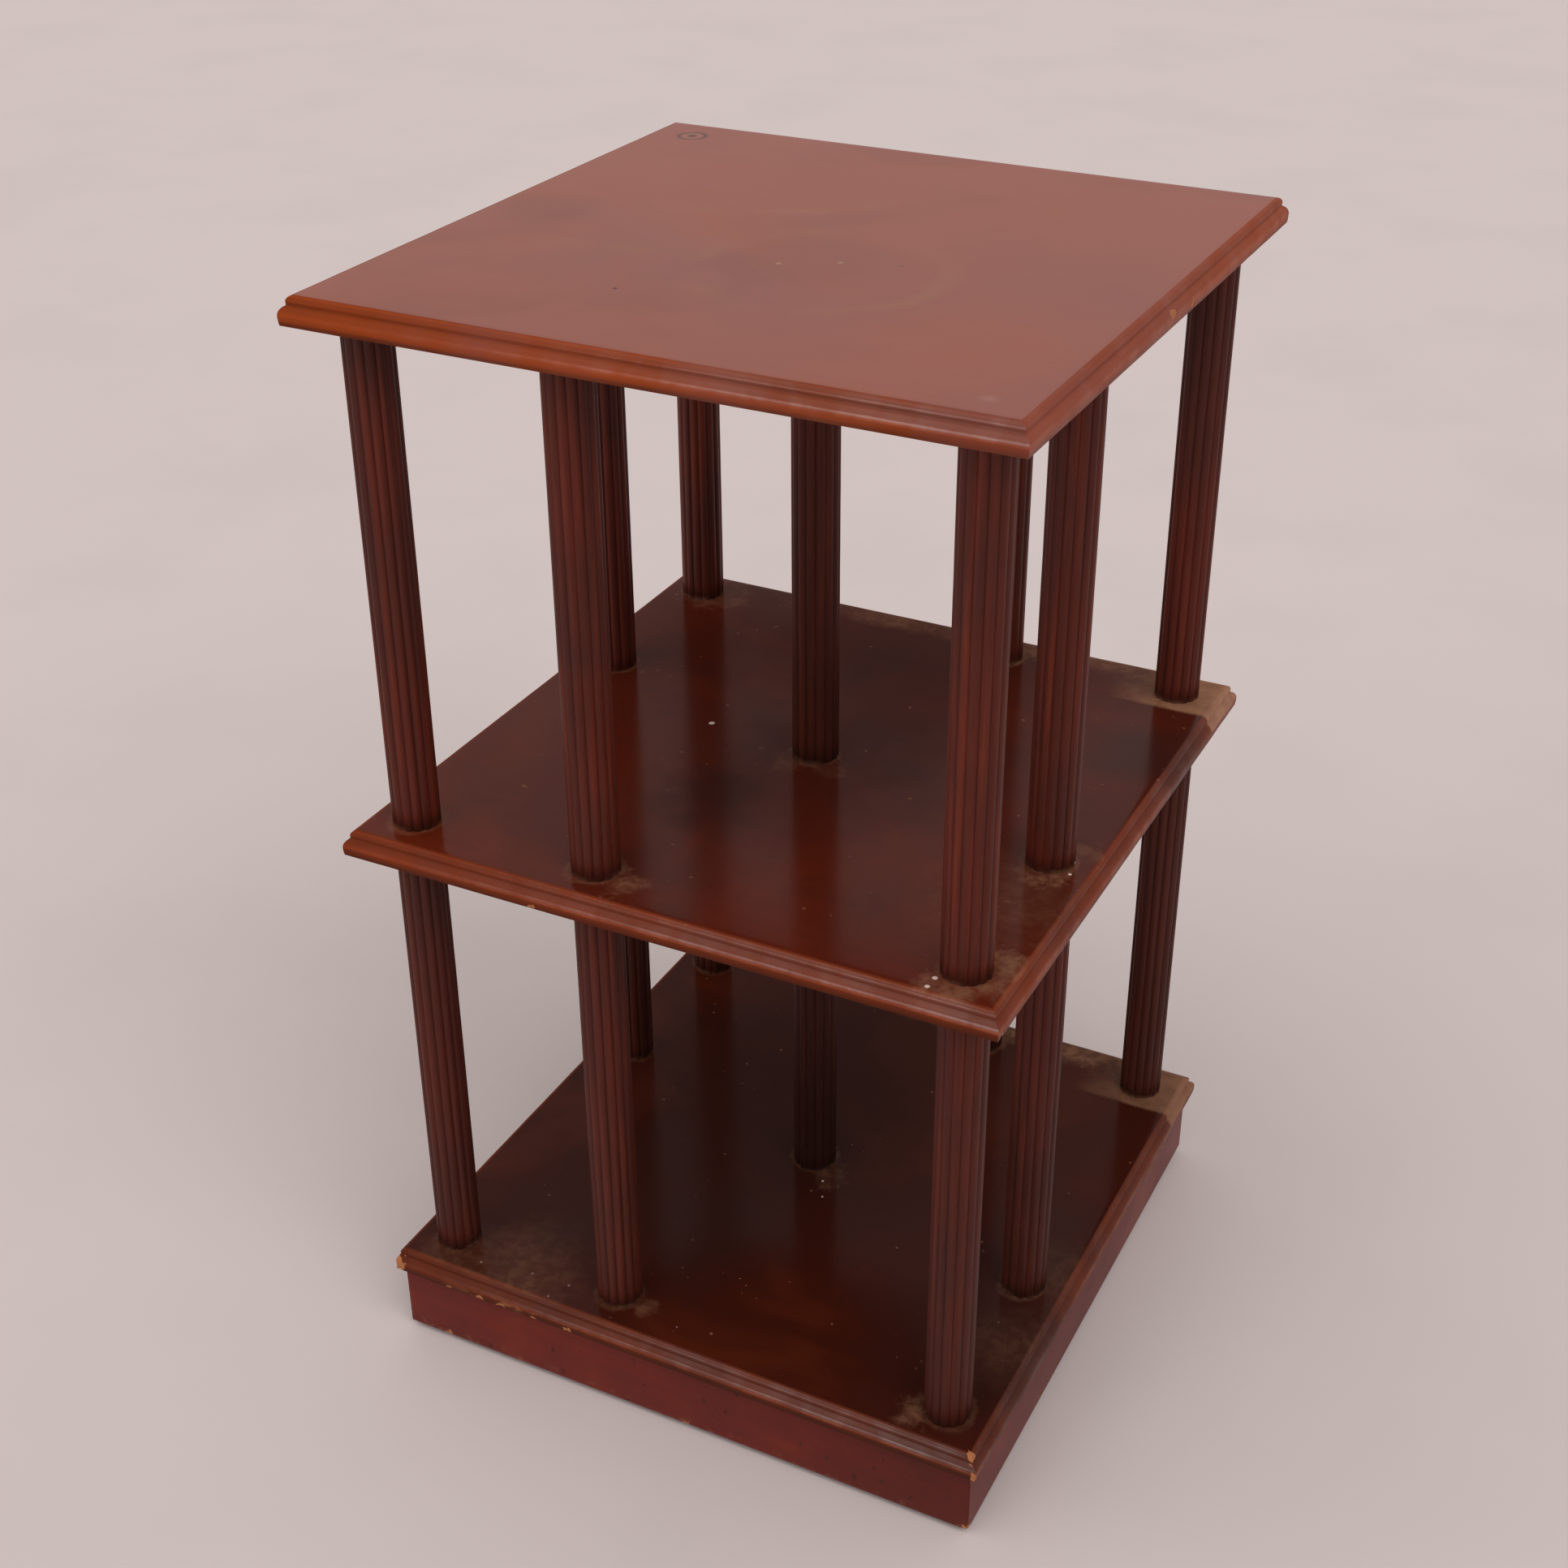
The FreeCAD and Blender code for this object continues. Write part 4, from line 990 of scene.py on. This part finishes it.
BOARD_LOOKS = {
    "top_board": BoardLook(
        "top", 0.92, 0.74, 0.3, TOP_CHIPS, cloud_end=0.72, cloud_shade=0.16, blotch_shade=0,
        streak_shade=0.04, slope_shade=0.06, front_slope_shade=0.16, right_end_darker=0.2, handled_start=-0.2,
        painted_shade=0.06, right_painted_shade=0.3, painted_shade_start=0.1, painted_shade_end=0.2, front_sheen=0.5, lower_sheen=0.55),
    "middle_shelf": BoardLook(
        "shelf", 0.46, 0.44, 0.16, MIDDLE_CHIPS, MIDDLE_CLOUDS_AND_SHADE, MIDDLE_DUST, MIDDLE_CRUMBS, 1, 0.95),
    "bottom_board": BoardLook(
        "bottom", 0.26, 0.25, 0.16, BOTTOM_CHIPS, BOTTOM_CLOUDS_AND_SHADE, BOTTOM_DUST, BOTTOM_CRUMBS, 0.6, 0.55,
        scuff=(-0.135, 0.07)),
}


# ---- Operators ----

class BOOKCASE_OT_boards(bpy.types.Operator):
    """Model the top board, the middle shelf and the bottom board"""
    bl_idname = "bookcase.boards"
    bl_label = "Boards"

    def execute(self, context):
        sizes = settings().board
        for board, look in BOARD_LOOKS.items():
            mesh = moulded_board(sizes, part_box(board)[0].z)
            wear_edges(mesh, sizes.half_side - 1.2 * sizes.arris_inset, sizes.wear, look.chips)
            finishes = [BoardFinish(board, look, part).complete(part) for part in ("face", "edge")]
            add_piece(mesh, f"{board}_moulded", board, finishes, BOARD_CREASE)
        return {"FINISHED"}


class BOOKCASE_OT_columns(bpy.types.Operator):
    """Model the nine reeded columns of each tier"""
    bl_idname = "bookcase.columns"
    bl_label = "Columns"

    def execute(self, context):
        finish = column_finish()
        for tier in ("lower", "upper"):
            for name in COLUMNS:
                node = f"{tier}_column_{name}"
                low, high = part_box(node)
                mesh = reeded_column(settings().column, spot_of(node), low.z, high.z)
                add_piece(mesh, f"{node}_reeded", node, [finish], COLUMN_CREASE)
        return {"FINISHED"}


class BOOKCASE_OT_plinth(bpy.types.Operator):
    """Model the plinth's four mitred rails"""
    bl_idname = "bookcase.plinth"
    bl_label = "Plinth"

    def execute(self, context):
        finish = plinth_finish()
        for quarter, side in enumerate(SIDES):
            mesh = plinth_rail(settings().plinth, quarter * math.pi / 2)
            wear_edges(mesh, RAIL_BOX[1].x - 2 * MM, 0, PLINTH_CHIPS)
            add_piece(mesh, f"plinth_{side}_rail_worn", f"plinth_{side}_rail", [finish], BOARD_CREASE)
        return {"FINISHED"}


class BOOKCASE_OT_hidden_wood(bpy.types.Operator):
    """Finish the foot, the corner blocks and the dowels"""
    bl_idname = "bookcase.hidden_wood"
    bl_label = "Hidden wood"

    def execute(self, context):
        paint(["turntable_board"], plywood())
        paint(["foot_rail_lengthwise"], bare_wood("deal_lengthwise", "deal", "X", 90))
        paint(["foot_rail_crosswise"], bare_wood("deal_crosswise", "deal", "Y", 90))
        blocks = [f"plinth_block_{name}" for name in CORNERS]
        paint(blocks, bare_wood("deal_blocks", "deal", "Z", 120))
        paint(["top_dowels", "shelf_dowels"], bare_wood("beech_dowels", "beech", "Z", 200))
        return {"FINISHED"}


class BOOKCASE_OT_fittings(bpy.types.Operator):
    """Finish the metal fittings and the plastic glides"""
    bl_idname = "bookcase.fittings"
    bl_label = "Fittings"

    def execute(self, context):
        plates = ("upper_race_plate", "lower_race_plate", "bearing_balls")
        spindle = ("spindle", "thrust_washer", "castle_nut", "split_pin")
        screws = ("column_screws", "plinth_block_screws", "upper_race_screws", "lower_race_screws",
                  "spindle_screws", "turntable_screws", "glide_nails")
        paint(plates, metal("rolled_steel", "steel", 0.28))
        paint(spindle, metal("turned_steel", "steel", 0.22))
        paint(screws, metal("plated_steel", "steel", 0.32))
        paint(["ball_cage", "spindle_bush"], metal("brass", "brass", 0.25))
        paint([f"glide_{side}" for side in SIDES], moulded_plastic())
        return {"FINISHED"}


FLOOR_RADIUS = 14
LAMP_DISTANCE = 3
LAMPS = (
    # name, azimuth and elevation in degrees, width of the light in degrees, strength
    ("key", 62, 50, 40, 0.92),
    ("fill", -35, 55, 50, 0.55),
    ("window", -19, 8, 20, 0.45),
)


def direction(azimuth, elevation):
    """From the object outwards. Azimuth 0 is the front."""
    return Vector((math.sin(azimuth) * math.cos(elevation), -math.cos(azimuth) * math.cos(elevation),
                   math.sin(elevation)))


def aim(item, middle, towards, distance):
    """Stand an object off from a point, and let it look back at it."""
    item.location = middle + towards * distance
    item.rotation_euler = towards.to_track_quat("Z", "Y").to_euler()


def floor_finish(studio):
    """A plain floor, very slightly uneven."""
    finish = Finish("studio_floor", studio.floor)
    patch = finish.noise(3, detail=3)
    darker = [0.97 * channel for channel in studio.floor]
    finish.base = finish.blend(finish.rise(patch, 0.4, 0.7), studio.floor, darker)
    return finish.surface(0.55 + 0.1 * patch, 0.00002 * patch)


class BOOKCASE_OT_stage(bpy.types.Operator):
    """Set up the floor, the light and the camera"""
    bl_idname = "bookcase.stage"
    bl_label = "Stage"

    def execute(self, context):
        studio = settings().studio
        self.lay_floor(studio)
        self.light_sky(studio)
        for lamp in LAMPS:
            self.hang_lamp(*lamp)
        self.place_camera(studio)
        context.scene.view_settings.view_transform = "Standard"
        return {"FINISHED"}

    def lay_floor(self, studio):
        mesh = bmesh.new()
        bmesh.ops.create_circle(mesh, cap_ends=True, segments=96, radius=FLOOR_RADIUS)
        floor = add_mesh(mesh, "studio_floor", [floor_finish(studio)])

    def light_sky(self, studio):
        """Soft light from all round. The camera and the gloss see a plain backdrop instead."""
        world = bpy.data.worlds.new("studio_sky")
        bpy.context.scene.world = world
        world.use_nodes = True
        tree = NodeTree(world.node_tree)
        rays = tree.node("ShaderNodeLightPath").socket.node
        seen = Value(tree, rays.outputs["Is Camera Ray"])
        for ray in ("Is Glossy Ray", "Is Transmission Ray"):
            seen = seen.larger(Value(tree, rays.outputs[ray]))
        sky = tree.node("ShaderNodeBackground", inputs={"Color": (1, 1, 1, 1), "Strength": studio.sky})
        backdrop = tree.node("ShaderNodeBackground", inputs={"Color": rgba(studio.floor), "Strength": 1})
        both = tree.node("ShaderNodeMixShader", inputs={0: seen, 1: sky, 2: backdrop})
        tree.node("ShaderNodeOutputWorld", inputs={"Surface": both})

    def hang_lamp(self, name, azimuth, elevation, width, strength):
        """A soft lamp that lights the floor evenly."""
        light = bpy.data.lights.new(name, "SUN")
        light.angle = math.radians(width)
        light.energy = strength
        lamp = add_object(name, light)
        towards = direction(math.radians(azimuth), math.radians(elevation))
        aim(lamp, Vector(), towards, LAMP_DISTANCE)

    def place_camera(self, studio):
        towards = direction(studio.azimuth, studio.elevation)
        sideways = Vector((math.cos(studio.azimuth), math.sin(studio.azimuth), 0))
        view = bpy.data.cameras.new("camera")
        view.lens = studio.lens
        view.shift_x = studio.shift
        camera = add_object("camera", view)
        look = Vector((0, 0, studio.look_height)) + sideways * studio.side_step
        aim(camera, look, towards, studio.distance)
        bpy.context.scene.camera = camera


# ---- Panel and registration ----

OPERATORS = (BOOKCASE_OT_boards, BOOKCASE_OT_columns, BOOKCASE_OT_plinth, BOOKCASE_OT_hidden_wood,
             BOOKCASE_OT_fittings, BOOKCASE_OT_stage)


class BookcaseSettings(bpy.types.PropertyGroup):
    """Everything a user would change."""
    board: PointerProperty(type=BookcaseBoard)
    column: PointerProperty(type=BookcaseColumn)
    plinth: PointerProperty(type=BookcasePlinth)
    colours: PointerProperty(type=BookcaseColours)
    studio: PointerProperty(type=BookcaseStudio)


class BOOKCASE_PT_panel(bpy.types.Panel):
    """Lists the settings and the steps"""
    bl_label = "Bookcase"
    bl_idname = "BOOKCASE_PT_panel"
    bl_space_type = "VIEW_3D"
    bl_region_type = "UI"
    bl_category = "Bookcase"

    def draw(self, context):
        for title in BookcaseSettings.__annotations__:
            box = self.layout.box()
            box.label(text=title.capitalize())
            group = getattr(settings(), title)
            for name in type(group).__annotations__:
                box.prop(group, name)
        for operator in OPERATORS:
            self.layout.operator(operator.bl_idname)


CLASSES = (BookcaseBoard, BookcaseColumn, BookcasePlinth, BookcaseColours, BookcaseStudio, BookcaseSettings,
           *OPERATORS, BOOKCASE_PT_panel)


def register():
    for item in CLASSES:
        bpy.utils.register_class(item)
    bpy.types.Scene.bookcase = PointerProperty(type=BookcaseSettings)


def unregister():
    del bpy.types.Scene.bookcase
    for item in reversed(CLASSES):
        bpy.utils.unregister_class(item)


def main():
    register()
    bpy.ops.bookcase.boards()
    bpy.ops.bookcase.columns()
    bpy.ops.bookcase.plinth()
    bpy.ops.bookcase.hidden_wood()
    bpy.ops.bookcase.fittings()
    bpy.ops.bookcase.stage()


if __name__ == "__main__":
    main()
